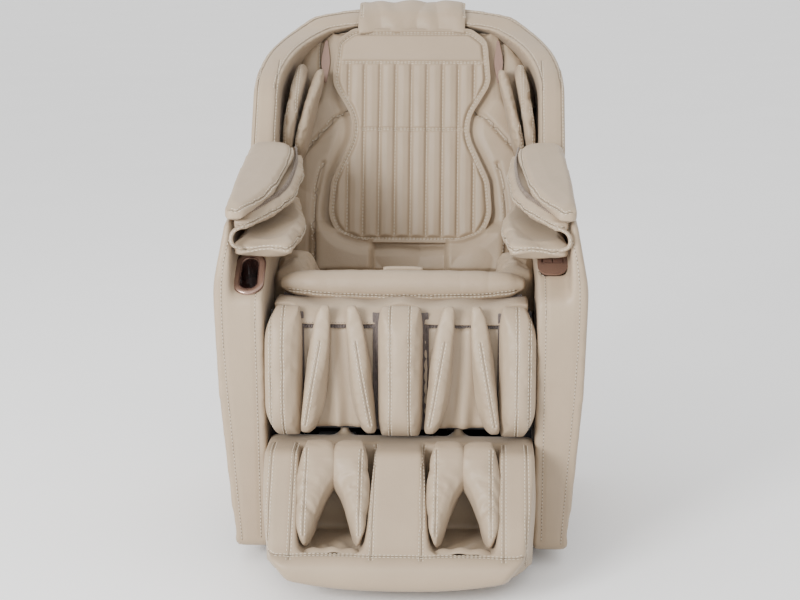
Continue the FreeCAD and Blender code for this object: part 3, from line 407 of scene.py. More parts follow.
# ---- seams
LAY_REACH = 0.05      # how far a seam's points may lie from the surface that takes them
CAST_REACH = 0.8      # how far outside the chair a cast starts
CREASE_STEP = 0.004
# The next step spaces the points along the tube of painted seam shadow.
SHADE_LINE_STEP = 0.007
WELT_STEP = 0.006


def longer(lines, least):
    return [line for line in lines if len(line) > least]


def resampled(points, step):
    """Evenly spaced points along a polyline."""
    points = np.array([tuple(p) for p in points])
    lengths = np.linalg.norm(np.diff(points, axis=0), axis=1)
    run = np.concatenate([[0.0], np.cumsum(lengths)])
    count = max(2, int(run[-1] / step) + 1)
    marks = np.linspace(0.0, run[-1], count)
    return np.stack([np.interp(marks, run, points[:, axis]) for axis in range(3)], axis=1)


def laid_on(tree, points, aside, lift):
    """Drops points on a surface, shifted sideways along it; returns places and normals."""
    places = []
    faces = []
    count = len(points)
    for index in range(count):
        here = Vector(points[index])
        hit, normal, _, _ = tree.find_nearest(here, LAY_REACH)
        if hit is None:
            continue
        along = Vector(points[min(index + 1, count - 1)]) - Vector(points[max(index - 1, 0)])
        if aside:
            across = along.cross(normal)
            if across.length > 1e-9:
                hit, normal, _, _ = tree.find_nearest(hit + across.normalized() * aside, LAY_REACH)
        places.append(hit + normal * lift)
        faces.append(normal)
    return places, faces


def crease(obj, path, depth, width):
    """Pulls the surface in along a path, as a seam does."""
    line = resampled(path, CREASE_STEP)
    finder = KDTree(len(line))
    for index, point in enumerate(line):
        finder.insert(point, index)
    finder.balance()
    points = coords(obj)
    out = normals(obj)
    low = line.min(0) - 3 * width
    high = line.max(0) + 3 * width
    near = np.where(((points > low) & (points < high)).all(1))[0]
    for index in near:
        distance = finder.find(points[index])[2]
        if distance < 3 * width:
            points[index] -= out[index] * depth * math.exp(-(distance / width) ** 2)
    set_coords(obj, points)


def tube(name, places, radius, material, sides=8):
    """A round welt through the places, closed at both ends."""
    vertices = []
    last = len(places) - 1
    for index, place in enumerate(places):
        along = (Vector(places[min(index + 1, last)]) - Vector(places[max(index - 1, 0)])).normalized()
        first = along.orthogonal().normalized() if index == 0 else (first - along * first.dot(along)).normalized()
        second = along.cross(first)
        for side in range(sides):
            angle = 2 * math.pi * side / sides
            vertices.append(Vector(place) + (first * math.cos(angle) + second * math.sin(angle)) * radius)
    faces = []
    for start in range(0, last * sides, sides):
        for side in range(sides):
            beside = (side + 1) % sides
            faces.append((start + side, start + beside, start + sides + beside, start + sides + side))
    faces.append(tuple(reversed(range(sides))))
    faces.append(tuple(range(last * sides, (last + 1) * sides)))
    return mesh_object(name, vertices, faces, material)


STITCH_PITCH = 0.0082
STITCH_LENGTH = 0.0056
STITCH_RADIUS = 0.0008
STITCH_SIDES = 5
STITCH_PROFILE = ((0.0, 0.35), (0.2, 1.0), (0.8, 1.0), (1.0, 0.35))
# The next radius is that of the thin tube of painted seam shadow.
SEAM_SHADE_RADIUS = 0.0007


def stitch_rows(name, tree, paths, offsets, body, slot):
    """Rows of separate thread stitches laid on a surface beside each path."""
    vertices = []
    faces = []
    for path in paths:
        line = resampled(path, STITCH_PITCH)
        for aside in offsets:
            places, ups = laid_on(tree, line, aside, STITCH_RADIUS * 0.4)
            for index in range(len(places) - 1):
                along = places[index + 1] - places[index]
                if along.length < 0.3 * STITCH_PITCH or along.length > 2.2 * STITCH_PITCH:
                    continue
                along.normalize()
                up = ups[index]
                across = along.cross(up).normalized()
                start = len(vertices)
                for share, thick in STITCH_PROFILE:
                    middle = places[index] + along * STITCH_LENGTH * share
                    for side in range(STITCH_SIDES):
                        angle = 2 * math.pi * side / STITCH_SIDES
                        spoke = across * math.cos(angle) * 1.25 + up * math.sin(angle)
                        vertices.append(middle + spoke * STITCH_RADIUS * thick)
                end = len(vertices) - STITCH_SIDES
                for ring in range(start, end, STITCH_SIDES):
                    for side in range(STITCH_SIDES):
                        a, b = ring + side, ring + (side + 1) % STITCH_SIDES
                        faces.append((a, b, b + STITCH_SIDES, a + STITCH_SIDES))
                faces.append(tuple(reversed(range(start, start + STITCH_SIDES))))
                faces.append(tuple(range(end, end + STITCH_SIDES)))
    if vertices:
        placed(mesh_object(name, vertices, faces, THREAD), body, slot)


def seam(name, obj, paths, body, slot, depth=0.0025, width=0.0035, rows=(-0.004, 0.004), welt=0.0):
    """A sewn line on obj: the pulled-in surface, a thin dark tube of painted seam shadow in the crease where there
    is no piping, the stitches beside it and, if asked, a piping.
    """
    for path in paths:
        if depth:
            crease(obj, path, depth, width)
    tree = tree_of(obj)
    for number, path in enumerate(paths):
        if welt:
            places, _ = laid_on(tree, resampled(path, WELT_STEP), 0.0, welt * 0.35)
            if len(places) > 2:
                placed(tube(f"{name}_welt_{number}", places, welt, PIPING), body, slot)
        elif depth:
            # A thin dark tube in the crease: painted seam shadow.
            places, _ = laid_on(tree, resampled(path, SHADE_LINE_STEP), 0.0, SEAM_SHADE_RADIUS * 0.25)
            if len(places) > 2:
                placed(tube(f"{name}_line_{number}", places, SEAM_SHADE_RADIUS, SEAM_SHADE, 6), body, slot)
    if rows:
        stitch_rows(name + "_stitches", tree, paths, rows, body, slot)


def wrap(tree, centre, first, second, start, end, count, reach=CAST_REACH):
    """Surface points seen from outside, turning about centre in the plane of two directions."""
    points = []
    for index in range(count):
        angle = math.radians(start + (end - start) * index / (count - 1))
        direction = Vector(first) * math.cos(angle) + Vector(second) * math.sin(angle)
        hit, _, _, _ = tree.ray_cast(Vector(centre) + direction * reach, -direction)
        if hit:
            points.append(hit)
    return points


def cast(tree, points, direction):
    """Surface points that the given points reach along a direction, starting well outside."""
    direction = Vector(direction).normalized()
    hits = []
    for point in points:
        hit, _, _, _ = tree.ray_cast(Vector(point) - direction * CAST_REACH, direction)
        if hit:
            hits.append(hit)
    return hits


# ---- building soft pieces
MADE = []


def placed(obj, body, slot, nodes=(), fill=None):
    """Rides, slot, replaced nodes and padding of a finished piece in one place."""
    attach(obj, body)
    if nodes:
        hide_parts(*nodes)
    MADE.append((obj, body, slot, nodes, fill))


def soft(name, nodes, material, voxel=0.005, smooth=6, shrink=0.002, cap=0.006, pressure=4.0, finer=False):
    """An upholstered body over CAD nodes: even mesh, rounded edges, swollen by the cloth solver."""
    obj = remeshed(name, nodes, material, voxel, smooth)
    if shrink:
        swell(obj, -shrink)
    if cap:
        inflate(obj, pressure, cap)
    if finer:
        subdivided(obj)
    return obj


def mirrored_pieces():
    """Makes the right-hand twin of every piece whose name says left, unless it's already there."""
    for obj, body, slot, nodes, fill in list(MADE):
        twin_name = obj.name.replace("left", "right")
        if twin_name == obj.name or twin_name in bpy.data.objects:
            continue
        mesh = obj.data.copy()
        mesh.transform(Matrix.Scale(-1, 4, (1, 0, 0)))
        mesh.flip_normals()
        twin = bpy.data.objects.new(twin_name, mesh)
        SCENE.collection.objects.link(twin)
        placed(twin, body.replace("left", "right"), slot, tuple(n.replace("left", "right") for n in nodes), fill)


def smooth_line(points, per_span=10):
    """A Catmull-Rom curve through points."""
    points = [Vector(p) for p in points]
    ends = [points[0] * 2 - points[1]] + points + [points[-1] * 2 - points[-2]]
    line = []
    for index in range(1, len(ends) - 2):
        a, b, c, d = ends[index - 1:index + 3]
        for step in range(per_span):
            t = step / per_span
            line.append(0.5 * (2 * b + (c - a) * t + (2 * a - 5 * b + 4 * c - d) * t * t
                               + (3 * b - a - 3 * c + d) * t ** 3))
    line.append(points[-1])
    return line


def mm(*triples):
    return [Vector(t) * MM for t in triples]


def bell(value, middle, width):
    return math.exp(-((value - middle) / width) ** 2)


# ---- arms
CAP_EDGE = [(243, -5), (241, -104), (262, -262), (318, -378), (358, -382)]
SLIT_EDGE = [(238, -12), (230, -100), (241, -226), (286, -312), (316, -346)]


CAP_SLIT_DROP = 11


def under_cap(y, drop=CAP_SLIT_DROP):
    """Height at a drop below the arm cap's reference slope, in millimetres."""
    return 754 + 0.27 * (y + 370) - drop


def under_hand_pad(y, drop):
    return 697 + 0.12 * (y + 370) - drop


def off_segment(x, y, ax, ay, bx, by):
    """Distance from points to the segment between a and b."""
    share = unit(((x - ax) * (bx - ax) + (y - ay) * (by - ay)) / ((bx - ax) ** 2 + (by - ay) ** 2))
    return np.hypot(x - ax - share * (bx - ax), y - ay - share * (by - ay))


def plan_distance(x, y, outline):
    """Distance in plan from points to an open outline, in millimetres."""
    best = np.full(len(x), 1e9)
    for (ax, ay), (bx, by) in zip(outline, outline[1:]):
        best = np.minimum(best, off_segment(x, y, ax, ay, bx, by))
    return best


def build_skin():
    """The leather that wraps the whole outside of each arm, with its front and ramp seams."""
    for label, side in SIDES:
        nodes = [f"side_panel_{label}", f"arm_core_{label}"]
        skin = remeshed(f"side_skin_{label}", nodes, LEATHER, 0.006, 14)
        keep_largest_shell(skin)
        tree = tree_of(skin)
        front = smooth_line(mm((335, -500, 738), (346, -500, 715), (358, -500, 670), (365, -500, 590),
                               (362, -500, 440), (353, -500, 280), (344, -500, 130), (339, -500, 50)))
        bend = smooth_line(mm((296, -262, 676), (296, -330, 640), (296, -372, 596), (297, -384, 560),
                              (297, -384, 400), (297, -384, 200), (297, -384, 50)))
        lines = [cast(tree, [Vector((side * p.x, p.y, p.z)) for p in front], (0, 1, 0)),
                 [tree.find_nearest(Vector((side * p.x, p.y, p.z)))[0] for p in bend]]
        placed(skin, "base", "leather", nodes)
        lines = longer(lines, 3)
        seam(f"side_seam_{label}", skin, lines, "base", "leather", depth=0.0022, width=0.0032, rows=(0.0,))


def build_cap():
    cap = soft("arm_cap_top_left", ["arm_cap_left"], LEATHER, 0.0045, 6, 0.001, 0.005)
    points = coords(cap)
    x, y, z = (points / MM).T
    share = unit((z - under_cap(y)) / 29.0)
    edge = plan_distance(x, y, CAP_EDGE)
    points[:, 2] += (1 - share) * 12.0 * unit(1 - edge / 34) * MM
    points[:, 2] += share * 5.0 * unit(edge / 45) * MM
    rear = unit((y + 75) / 70) ** 2
    points[:, 2] -= rear * share * 15.0 * MM
    points[:, 0] += (303 - x) * 0.42 * rear * MM
    reshaped(cap, points)
    tree = tree_of(cap)
    band = cast(tree, smooth_line(mm((258, -18, 1000), (250, -104, 1000), (270, -258, 1000), (322, -366, 1000),
                                     (347, -371, 1000))), (0, 0, -1))
    seam("arm_cap_seam_left", cap, [band], "base", "leather", depth=0.0025, width=0.003, rows=(-0.004, 0.004))
    placed(cap, "base", "leather", ("arm_cap_left",), 0.85)


def build_arm():
    """Left arm: outer skin, cap, airbags, pleated mesh and its seams."""
    build_skin()
    build_cap()
    bag = soft("arm_airbag_soft_left", ["arm_airbag_left"], LEATHER_SOFT, 0.0045, 12, 0.001, 0.006, finer=True)
    wrinkle(bag, 0.0022, 16.0, 3, (1, 1, 2.5))
    tree = tree_of(bag)
    rim = [at(x, y, under_cap(y, 19)) for x, y in
           ((205, -40), (190, -120), (200, -212), (245, -300), (305, -372), (335, -375))]
    rim = [tree.find_nearest(p)[0] for p in smooth_line(rim)]
    seam("arm_airbag_seam_left", bag, [rim], "base", "leather", depth=0.003, width=0.003, rows=(-0.0035, 0.0035))
    placed(bag, "base", "leather", ("arm_airbag_left",), 0.6)
    slit = [at(x + 7, y + 8, under_cap(y) + 4) for x, y in SLIT_EDGE]
    placed(pleated_ribbon("arm_pleats_left", slit, 0.011, 0.0016, 0.006), "base", "leather_pad")

    pad = soft("hand_pad_soft_left", ["hand_pad_left"], LEATHER_SOFT, 0.0055, 11, 0.001, 0.008)
    points = coords(pad)
    x, y, z = (points / MM).T
    hollow = np.exp(-(((x - 285) / 45) ** 2 + ((y + 300) / 60) ** 2))
    share = unit((z - under_hand_pad(y, 29)) / 34.0)
    points[:, 2] -= share * hollow * 10.0 * MM
    points[:, 2] += 5.0 * np.exp(-((y + 362) / 22) ** 2) * np.sin(x / 19.0) * MM * 0.8
    points[:, 2] += (1 - share) * 8.0 * np.exp(-((y + 362) / 26) ** 2) * MM
    reshaped(pad, points)
    wrinkle(pad, 0.0042, 9.0, 5, (1, 0.6, 2.0))
    tree = tree_of(pad)
    rim = [at(x, y, under_hand_pad(y, 8)) for x, y in
           ((180, -60), (175, -180), (180, -260), (205, -385), (280, -390), (330, -388))]
    rim = [tree.find_nearest(p)[0] for p in smooth_line(rim)]
    seam("hand_pad_seam_left", pad, [rim], "base", "leather", depth=0.0035, width=0.0035, rows=(-0.004, 0.004))
    placed(pad, "base", "leather", ("hand_pad_left",), 0.5)

    fold = smooth_line(mm((318, -362, 737), (336, -373, 729), (343, -376, 715), (339, -373, 699), (322, -361, 690)))
    gusset = tube("arm_gusset_left", resampled(fold, 0.003), 0.0042, LEATHER_SOFT, 16)
    placed(gusset, "base", "leather")
    stitch_rows("arm_gusset_stitches_left", tree_of(gusset), [[p + Vector((0, -0.006, 0)) for p in fold]],
                (0.0,), "base", "leather")


def pleated_ribbon(name, line, half_height, amplitude, pitch, material=PLEATS):
    """A gathered strip of mesh fabric standing along a line."""
    line = resampled(smooth_line(line), pitch / 6)
    vertices = []
    faces = []
    rows = 5
    for index, point in enumerate(line):
        ahead = line[min(index + 1, len(line) - 1)] - line[max(index - 1, 0)]
        out = Vector((ahead[1], -ahead[0], 0)).normalized()
        phase = 2 * math.pi * index / 6
        for row in range(rows):
            share = row / (rows - 1) * 2 - 1
            depth = amplitude * math.sin(phase + 0.5 * share) - 0.003 * share * share
            vertices.append(Vector(point) + out * depth + Vector((0, 0, half_height * share)))
    for index in range(len(line) - 1):
        for row in range(rows - 1):
            a = index * rows + row
            faces.append((a, a + rows, a + rows + 1, a + 1))
    return thickened(mesh_object(name, vertices, faces, material), 0.0012, 0.0)


def stadium_loop(width, length, count=18):
    """Points round a stadium in its own plane, across and along."""
    radius = width / 2
    straight = length / 2 - radius
    loop = []
    for end, start in ((1, 0), (-1, 180)):
        for step in range(count + 1):
            angle = math.radians(start + 180 * step / count)
            loop.append((radius * math.cos(angle), end * straight + radius * math.sin(angle)))
    return loop


RAMP_LOW = at(0, -376, 590)
RAMP_HIGH = at(0, -262, 676)
UP_RAMP = (RAMP_HIGH - RAMP_LOW).normalized()
OFF_RAMP = Vector((0, -UP_RAMP.z, UP_RAMP.y))


def on_ramp(x, along, off):
    return (RAMP_LOW + RAMP_HIGH) / 2 + (RIGHT * x + UP_RAMP * along + OFF_RAMP * off) * MM


def ring_strip(name, loops, material):
    """Joins successive loops of places, and the last to the first, into a smooth ring."""
    count = len(loops[0])
    vertices = [place for loop in loops for place in loop]
    faces = []
    for ring in range(len(loops)):
        following = (ring + 1) % len(loops)
        for index in range(count):
            ahead = (index + 1) % count
            faces.append((ring * count + index, ring * count + ahead, following * count + ahead,
                          following * count + index))
    obj = mesh_object(name, vertices, faces, material)
    work = bmesh.new()
    work.from_mesh(obj.data)
    bmesh.ops.recalc_face_normals(work, faces=work.faces)
    work.to_mesh(obj.data)
    work.free()
    return obj


RING_WIDTH = 65
RING_LENGTH = 113
RING_PROFILE = ((-1.2, 0.3), (-1.0, 3.0), (1.0, 5.2), (4.0, 6.2), (9.5, 5.0), (13.0, 3.2), (14.2, 1.0), (14.4, -4.0))


def build_pocket_ring():
    """The bright bevelled surround of the phone pocket, a little narrower at its top."""
    loops = []
    for inset, off in RING_PROFILE:
        loop = []
        for across, along in stadium_loop(RING_WIDTH - 2 * inset, RING_LENGTH - 2 * inset):
            taper = 1.0 - 0.0009 * (along + 50)
            loop.append(on_ramp(-313.5 + across * taper, -6 + along, off))
        loops.append(loop)
    placed(ring_strip("pocket_ring", loops, ROSE), "base", "rose_trim")


# ---- seat
ROLL_HALF = 257


def build_seat():
    cushion = soft("seat_cushion_soft", ["seat_cushion"], LEATHER_SOFT, 0.008, 5, 0.004, 0.010, finer=True)
    tree = tree_of(cushion)
    lines = [cast(tree, smooth_line(mm((side * 96, -190, 800), (side * 104, -40, 800), (side * 92, 100, 800))),
                  (0, 0, -1)) for side in (1, -1)]
    seam("seat_seam", cushion, lines, "base", "leather_pad", depth=0.007, width=0.008, welt=0.0022, rows=())
    placed(cushion, "base", "leather_pad", ("seat_cushion",), 0.8)

    roll = soft("seat_roll_soft", ["seat_roll"], LEATHER_SOFT, 0.005, 7, -0.002, 0.007)
    points = coords(roll)
    x, y, z = (points / MM).T
    share = unit((z - 563) / 51.0)
    across = np.abs(x) / ROLL_HALF
    pinch = unit((np.abs(x) - 225) / 34.0) ** 1.5
    points[:, 2] += ((1 - share) * (15.0 * across ** 3 - 4.0) + share * (5.0 - 5.0 * across ** 4)) * MM
    points[:, 2] += (590 - z) * 0.35 * pinch * MM
    points[:, 1] += (-236 - y) * 0.25 * pinch * MM
    points[:, 1] -= (y < -231) * 4.0 * (1 - across ** 2) * MM
    reshaped(roll, points)
    wrinkle(roll, 0.0036, 10.0, 2, (1.8, 0.5, 0.5), lambda p: 0.35 + 0.9 * (abs(p[0]) / (ROLL_HALF * MM)) ** 2)
    tree = tree_of(roll)
    low_line = [at(x, -320, 570 + 15 * (abs(x) / ROLL_HALF) ** 3) for x in range(-240, 241, 12)]
    seam("seat_roll_seam", roll, [cast(tree, low_line, (0, 1, 0))], "base", "leather_pad", depth=0.003,
         width=0.003, rows=(-0.004, 0.004))
    placed(roll, "base", "leather_pad", ("seat_roll",), 0.75)
    under = [at(x, -237, 558 + 6 * (abs(x) / ROLL_HALF) ** 3) for x in range(-252, 253, 12)]
    placed(pleated_ribbon("seat_roll_mesh", under, 0.008, 0.0016, 0.007, MESH), "base", "leather_pad")

    pads = soft("hip_pads_soft", ["hip_pads"], LEATHER_SOFT, 0.007, 7, 0.004, 0.010, finer=True)
    wrinkle(pads, 0.004, 8.0, 4, (1, 1, 0.7))
    placed(pads, "base", "leather_pad", ("hip_pads",), 0.6)

    tab = [at(x, y, z - 2.0 * (x / 42.0) ** 4)
           for y, z in ((-206, 606), (-210, 618), (-213, 622), (-208, 624), (-204, 616), (-200, 604))
           for x in range(-42, 43, 6)]
    flap = thickened(mesh_object("seat_tab", tab, grid_faces(5, 14), LEATHER), 0.0015, 1.0)
    placed(flap, "base", "leather_pad")


# ---- back
PAD_CENTRE = (0.0, 405.0)
CHANNEL_PITCH = 37.0
CHANNEL_TOP = 572.0
CROSS_SEAMS = (412.0, CHANNEL_TOP)
ARCH_CENTRE = 470


def outline_distance(x, u, outline):
    """Distance inside (positive) a closed outline, for arrays in millimetres."""
    loop = np.array(outline, float)
    best = np.full(len(x), 1e9)
    inside = np.zeros(len(x), bool)
    for (ax, au), (bx, bu) in zip(loop, np.roll(loop, -1, axis=0)):
        if (bx - ax) ** 2 + (bu - au) ** 2 < 1e-9:
            continue
        best = np.minimum(best, off_segment(x, u, ax, au, bx, bu))
        crosses = (au > u) != (bu > u)
        with np.errstate(divide="ignore", invalid="ignore"):
            inside ^= crosses & (x < (bx - ax) * (u - au) / (bu - au) + ax)
    return np.where(inside, best, -best)


def pad_outline():
    """The back pad's outline about the back's pivot, read from its CAD solid."""
    tree = tree_of(frame["nodes"]["back_pad"])
    hits = wrap(tree, on_back(0, -55, PAD_CENTRE[1]), RIGHT, UP_BACK, 0, 358, 180, 0.5)
    x, _, u = back_coords(np.array([tuple(p) for p in hits]))
    return list(zip(*rounder_corner(x, u)))


def rounder_corner(x, u):
    """Fills out the pad's lower corners; returns the new x and height."""
    weight = np.exp(-((np.abs(x) - 160) / 34) ** 2 - ((u - 163) / 26) ** 2)
    return x + np.sign(x) * 5.0 * weight, u - 8.0 * weight


def contour(outline, distance):
    """The closed line that runs a given distance inside the outline."""
    reach = np.arange(20.0, 330.0, 0.5)
    line = []
    for step in range(240):
        angle = 2 * math.pi * step / 240
        x = PAD_CENTRE[0] + reach * math.cos(angle)
        u = PAD_CENTRE[1] + reach * math.sin(angle)
        good = np.where(outline_distance(x, u, outline) > distance)[0]
        line.append((x[good[-1]], u[good[-1]]))
    return line + line[:1]


def back_coords(points):
    """Arrays of x, depth and height about the back's pivot, in millimetres."""
    rel = points - np.array(BACK_PIVOT)
    return rel[:, 0] / MM, rel @ REAR_AXIS / MM, rel @ UP_AXIS / MM


def facing_front(obj, least):
    return normals(obj) @ -REAR_AXIS > least


def build_back_pad(outline):
    pad = soft("back_pad_soft", ["back_pad"], LEATHER_PUFFED, 0.0045, 4, 0.001, 0.0, finer=True)
    points = coords(pad)
    x, _, u = back_coords(points)
    new_x, new_u = rounder_corner(x, u)
    points = points + ((new_x - x)[:, None] * RIGHT_AXIS + (new_u - u)[:, None] * UP_AXIS) * MM
    x, u = new_x, new_u
    inset = outline_distance(x, u, outline)
    front = facing_front(pad, 0.3)
    inner = unit((inset - 15.0) / 6.0)
    in_channels = inner * unit((CHANNEL_TOP - u) / 6.0)
    off_seam = np.abs((x + CHANNEL_PITCH / 2) % CHANNEL_PITCH - CHANNEL_PITCH / 2)
    push = in_channels * (-6.0 * np.exp(-(off_seam / 3.6) ** 2) + 3.6 * (off_seam / (CHANNEL_PITCH / 2)) ** 0.8)
    for line in CROSS_SEAMS:
        push -= inner * 4.2 * np.exp(-((u - line) / 4.0) ** 2)
    push -= 5.5 * np.exp(-((inset - 13.0) / 3.2) ** 2)
    push += 2.5 * np.exp(-((inset - 6.0) / 3.0) ** 2)
    push += inner * unit((u - CHANNEL_TOP) / 20) * 3.0
    ripple = np.array([noise.noise(Vector((a * 0.03, b * 0.011, 0))) for a, b in zip(x, u)])
    push += in_channels * 2.6 * ripple
    set_coords(pad, points - (front * push)[:, None] * REAR_AXIS * MM)
    relax(pad, 1, 0.4)
    tree = tree_of(pad)

    def laid(pairs):
        return cast(tree, [on_back(a, -160, b) for a, b in pairs], REARWARDS)

    border = laid(contour(outline, 9.5))
    stitch_rows("back_pad_border_stitches", tree, [border], (-0.007, 0.0), "back", "leather_pad")
    edge, _ = laid_on(tree, resampled(laid(contour(outline, 3.5)), 0.006), 0.0, 0.0005)
    placed(tube("back_pad_piping", edge, 0.0024, PIPING), "back", "leather_pad")
    lines = []
    for across in np.arange(-4, 5) * CHANNEL_PITCH:
        heights = np.arange(150.0, CHANNEL_TOP - 4, 6.0)
        inside = outline_distance(np.full(len(heights), across), heights, outline) > 17.0
        run = []
        for height, good in zip(heights, list(inside[:-1]) + [False]):
            if good:
                run.append((across, height))
            elif len(run) > 4:
                lines.append(laid(run))
                run = []
            else:
                run = []
    stitch_rows("back_pad_channel_stitches", tree, lines, (0.0,), "back", "leather_pad")
    cross = []
    for height in CROSS_SEAMS:
        row = np.arange(-190.0, 191.0, 6.0)
        inside = outline_distance(row, np.full(len(row), height), outline) > 16.0
        cross.append(laid([(a, height) for a in row[inside]]))
    stitch_rows("back_pad_cross_stitches", tree, cross, (-0.003, 0.003), "back", "leather_pad")
    placed(pad, "back", "leather_pad", ("back_pad",), 0.8)


def build_hood():
    hood = remeshed("hood_skin", ["hood_shell"], LEATHER, 0.0065, 12)
    keep_largest_shell(hood)
    placed(hood, "back", "leather", ("hood_shell",))
    tree = tree_of(hood)
    lines = []
    for side in (1, -1):
        for across in (300, 342):
            path = [on_back(side * across, -500, u) for u in np.arange(150.0, 560.0, 10.0)]
            lines.append(cast(tree, path, REARWARDS))
    middle = on_back(0, 0, ARCH_CENTRE)
    for inward in (9.0, 50.0):
        arch = []
        for step in range(61):
            angle = math.radians(180.0 * step / 60)
            outward = RIGHT * math.cos(angle) + UP_BACK * math.sin(angle)
            hit = tree.ray_cast(middle + outward * 0.6 - REARWARDS * 0.02, -outward)[0]
            if hit:
                arch.append(hit + (middle - hit).normalized() * inward * MM - REARWARDS * 0.3)
        lines.append(cast(tree, arch, REARWARDS))
    seam("hood_seam", hood, longer(lines, 5), "back", "leather", depth=0.0025, width=0.003,
         rows=(0.004,))


def build_upholstery(outline):
    cloth = soft("back_upholstery_soft", ["back_upholstery"], LEATHER_SOFT, 0.006, 4, -0.001, 0.009, finer=True)
    x, _, u = back_coords(coords(cloth))
    inset = outline_distance(x, u, outline)
    seen = facing_front(cloth, 0.2) & (inset < 10)
    puff = 10.0 * unit(-inset / 30.0) * unit((296 - np.abs(x)) / 50.0)
    puff -= 5.0 * np.exp(-((inset + 4) / 8.0) ** 2)
    puff *= 1 - np.exp(-((np.abs(x) - 206) / 20.0) ** 2) * unit((u - 480) / 40.0)
    low = unit((196 - u) / 30.0)
    bolster = unit((np.abs(x) - 82) / 16.0) * unit((236 - np.abs(x)) / 30.0)
    puff += low * (24.0 * np.sin(bolster * math.pi / 2) ** 0.7 - 4.0 * (np.abs(x) < 82))
    moved = coords(cloth) - (seen * puff)[:, None] * REAR_AXIS * MM
    reach = np.hypot(x, u - ARCH_CENTRE) + 1.0
    spread = 11.0 * unit((reach - 215) / 40.0) * (u > ARCH_CENTRE)
    moved += (x / reach * spread * MM)[:, None] * RIGHT_AXIS
    moved += ((u - ARCH_CENTRE) / reach * spread * MM)[:, None] * UP_AXIS
    set_coords(cloth, moved)
    wrinkle(cloth, 0.0085, 8.0, 6, (1, 1, 0.8))
    points = coords(cloth)
    hidden = ~facing_front(cloth, -0.2)
    points[hidden] = moved[hidden]
    x, depth, u = back_coords(points)
    trim = unit(1.6 - np.abs((np.abs(x) - 205) / 13.0)) * unit(1.4 - np.abs((u - 577) / 70.0))
    points += (np.clip(-43.0 - depth, 0, 14) * trim * MM)[:, None] * REAR_AXIS
    set_coords(cloth, points)
    tree = tree_of(cloth)
    lines = []
    for side in (1, -1):
        for path in (((150, 455), (175, 440), (215, 398), (250, 360), (272, 335)),
                     ((212, 655), (214, 600), (212, 540), (218, 490), (238, 455), (262, 440)),
                     ((205, 330), (222, 250), (226, 170), (224, 100))):
            places = smooth_line([Vector((side * a, 0, b)) for a, b in path])
            lines.append(cast(tree, [on_back(p.x, -200, p.z) for p in places], REARWARDS))
    seam("back_upholstery_seam", cloth, longer(lines, 4), "back", "leather_pad",
         depth=0.007, width=0.006, rows=(0.0045,))
    placed(cloth, "back", "leather_pad", ("back_upholstery",), 0.6)


def build_head_flap():
    """The loose flap over the hood's crown, pinched by the pad's top piping."""
    flap = soft("head_flap_soft", ["head_flap"], LEATHER_SOFT, 0.0045, 4, 0.0005, 0.005)
    points = coords(flap)
    x, depth, u = back_coords(points)
    low = unit((680 - u) / 25.0) * unit((-40 - depth) / 12.0)
    points -= (low * 20.0)[:, None] * UP_AXIS * MM
    points += (low * 7.0)[:, None] * REAR_AXIS * MM
    reshaped(flap, points)
    wrinkle(flap, 0.006, 11.0, 9, (1.4, 0.5, 0.5))
    x, _, u = back_coords(coords(flap))
    folds = 2.2 * np.sin(x / 13.0 + u / 22.0) * np.exp(-((np.abs(x) - 70) / 50) ** 2)
    set_coords(flap, coords(flap) + normals(flap) * (folds * MM)[:, None])
    placed(flap, "back", "leather_pad", ("head_flap",), 0.5)
    tree = tree_of(flap)
    lines = []
    for side in (1, -1):
        hits = []
        for angle in np.radians(np.arange(-10, 150, 4)):
            outward = -REARWARDS * math.cos(angle) + UP_BACK * math.sin(angle)
            hits.append(tree.ray_cast(on_back(side * 121, 0, 690) + outward * 0.3, -outward)[0])
        lines.append([hit for hit in hits if hit])
    seam("head_flap_seam", flap, longer(lines, 4), "back", "leather_pad", depth=0.002,
         width=0.003, rows=(0.0, 0.005))


def build_shoulder():
    leaves = soft("shoulder_airbag_soft_left", ["shoulder_airbag_left"], LEATHER_SOFT, 0.0045, 5, 0.001, 0.005,
                  finer=True)
    wrinkle(leaves, 0.0028, 12.0, 8)
    tree = tree_of(leaves)
    lines = []
    for across in (283, 258):
        line = []
        for u in np.arange(345.0, 556.0, 6.0):
            for offset in range(0, 60, 6):
                start = on_back(across - offset, -400, float(u))
                hit = tree.ray_cast(start, REARWARDS)[0]
                if hit and (hit - start).length < 0.33:
                    line.append(hit)
                    break
        lines.append(line)
    lines = longer(lines, 5)
    stitch_rows("shoulder_airbag_stitches_left", tree, lines, (-0.003, 0.003), "back", "leather_pad")
    placed(leaves, "back", "leather_pad", ("shoulder_airbag_left",), 0.6)


def build_back():
    outline = pad_outline()
    build_hood()
    build_upholstery(outline)
    build_head_flap()
    build_shoulder()
    build_back_pad(outline)


# ---- leg rest
def cushion_seams(name, obj, xs):
    tree = tree_of(obj)
    lines = [wrap(tree, at(x, -350, 432), (0, -1, 0), (0, 0, 1), -118, 118, 60) for x in xs]
    seam(name, obj, longer(lines, 6), "legrest", "leather_pad", depth=0.002, width=0.003,
         rows=(-0.0035, 0.0035))


def rounded_ends(points, low, high, amount, run, keep_back):
    """Draws the top and bottom of an upright cushion in, as a tight cover does."""
    _, y, z = (points / MM).T
    end = unit((np.abs(z - (low + high) / 2) - ((high - low) / 2 - run)) / run) ** 2
    points[:, 1] += end * amount * unit((keep_back - y) / 60.0) * MM
    return end


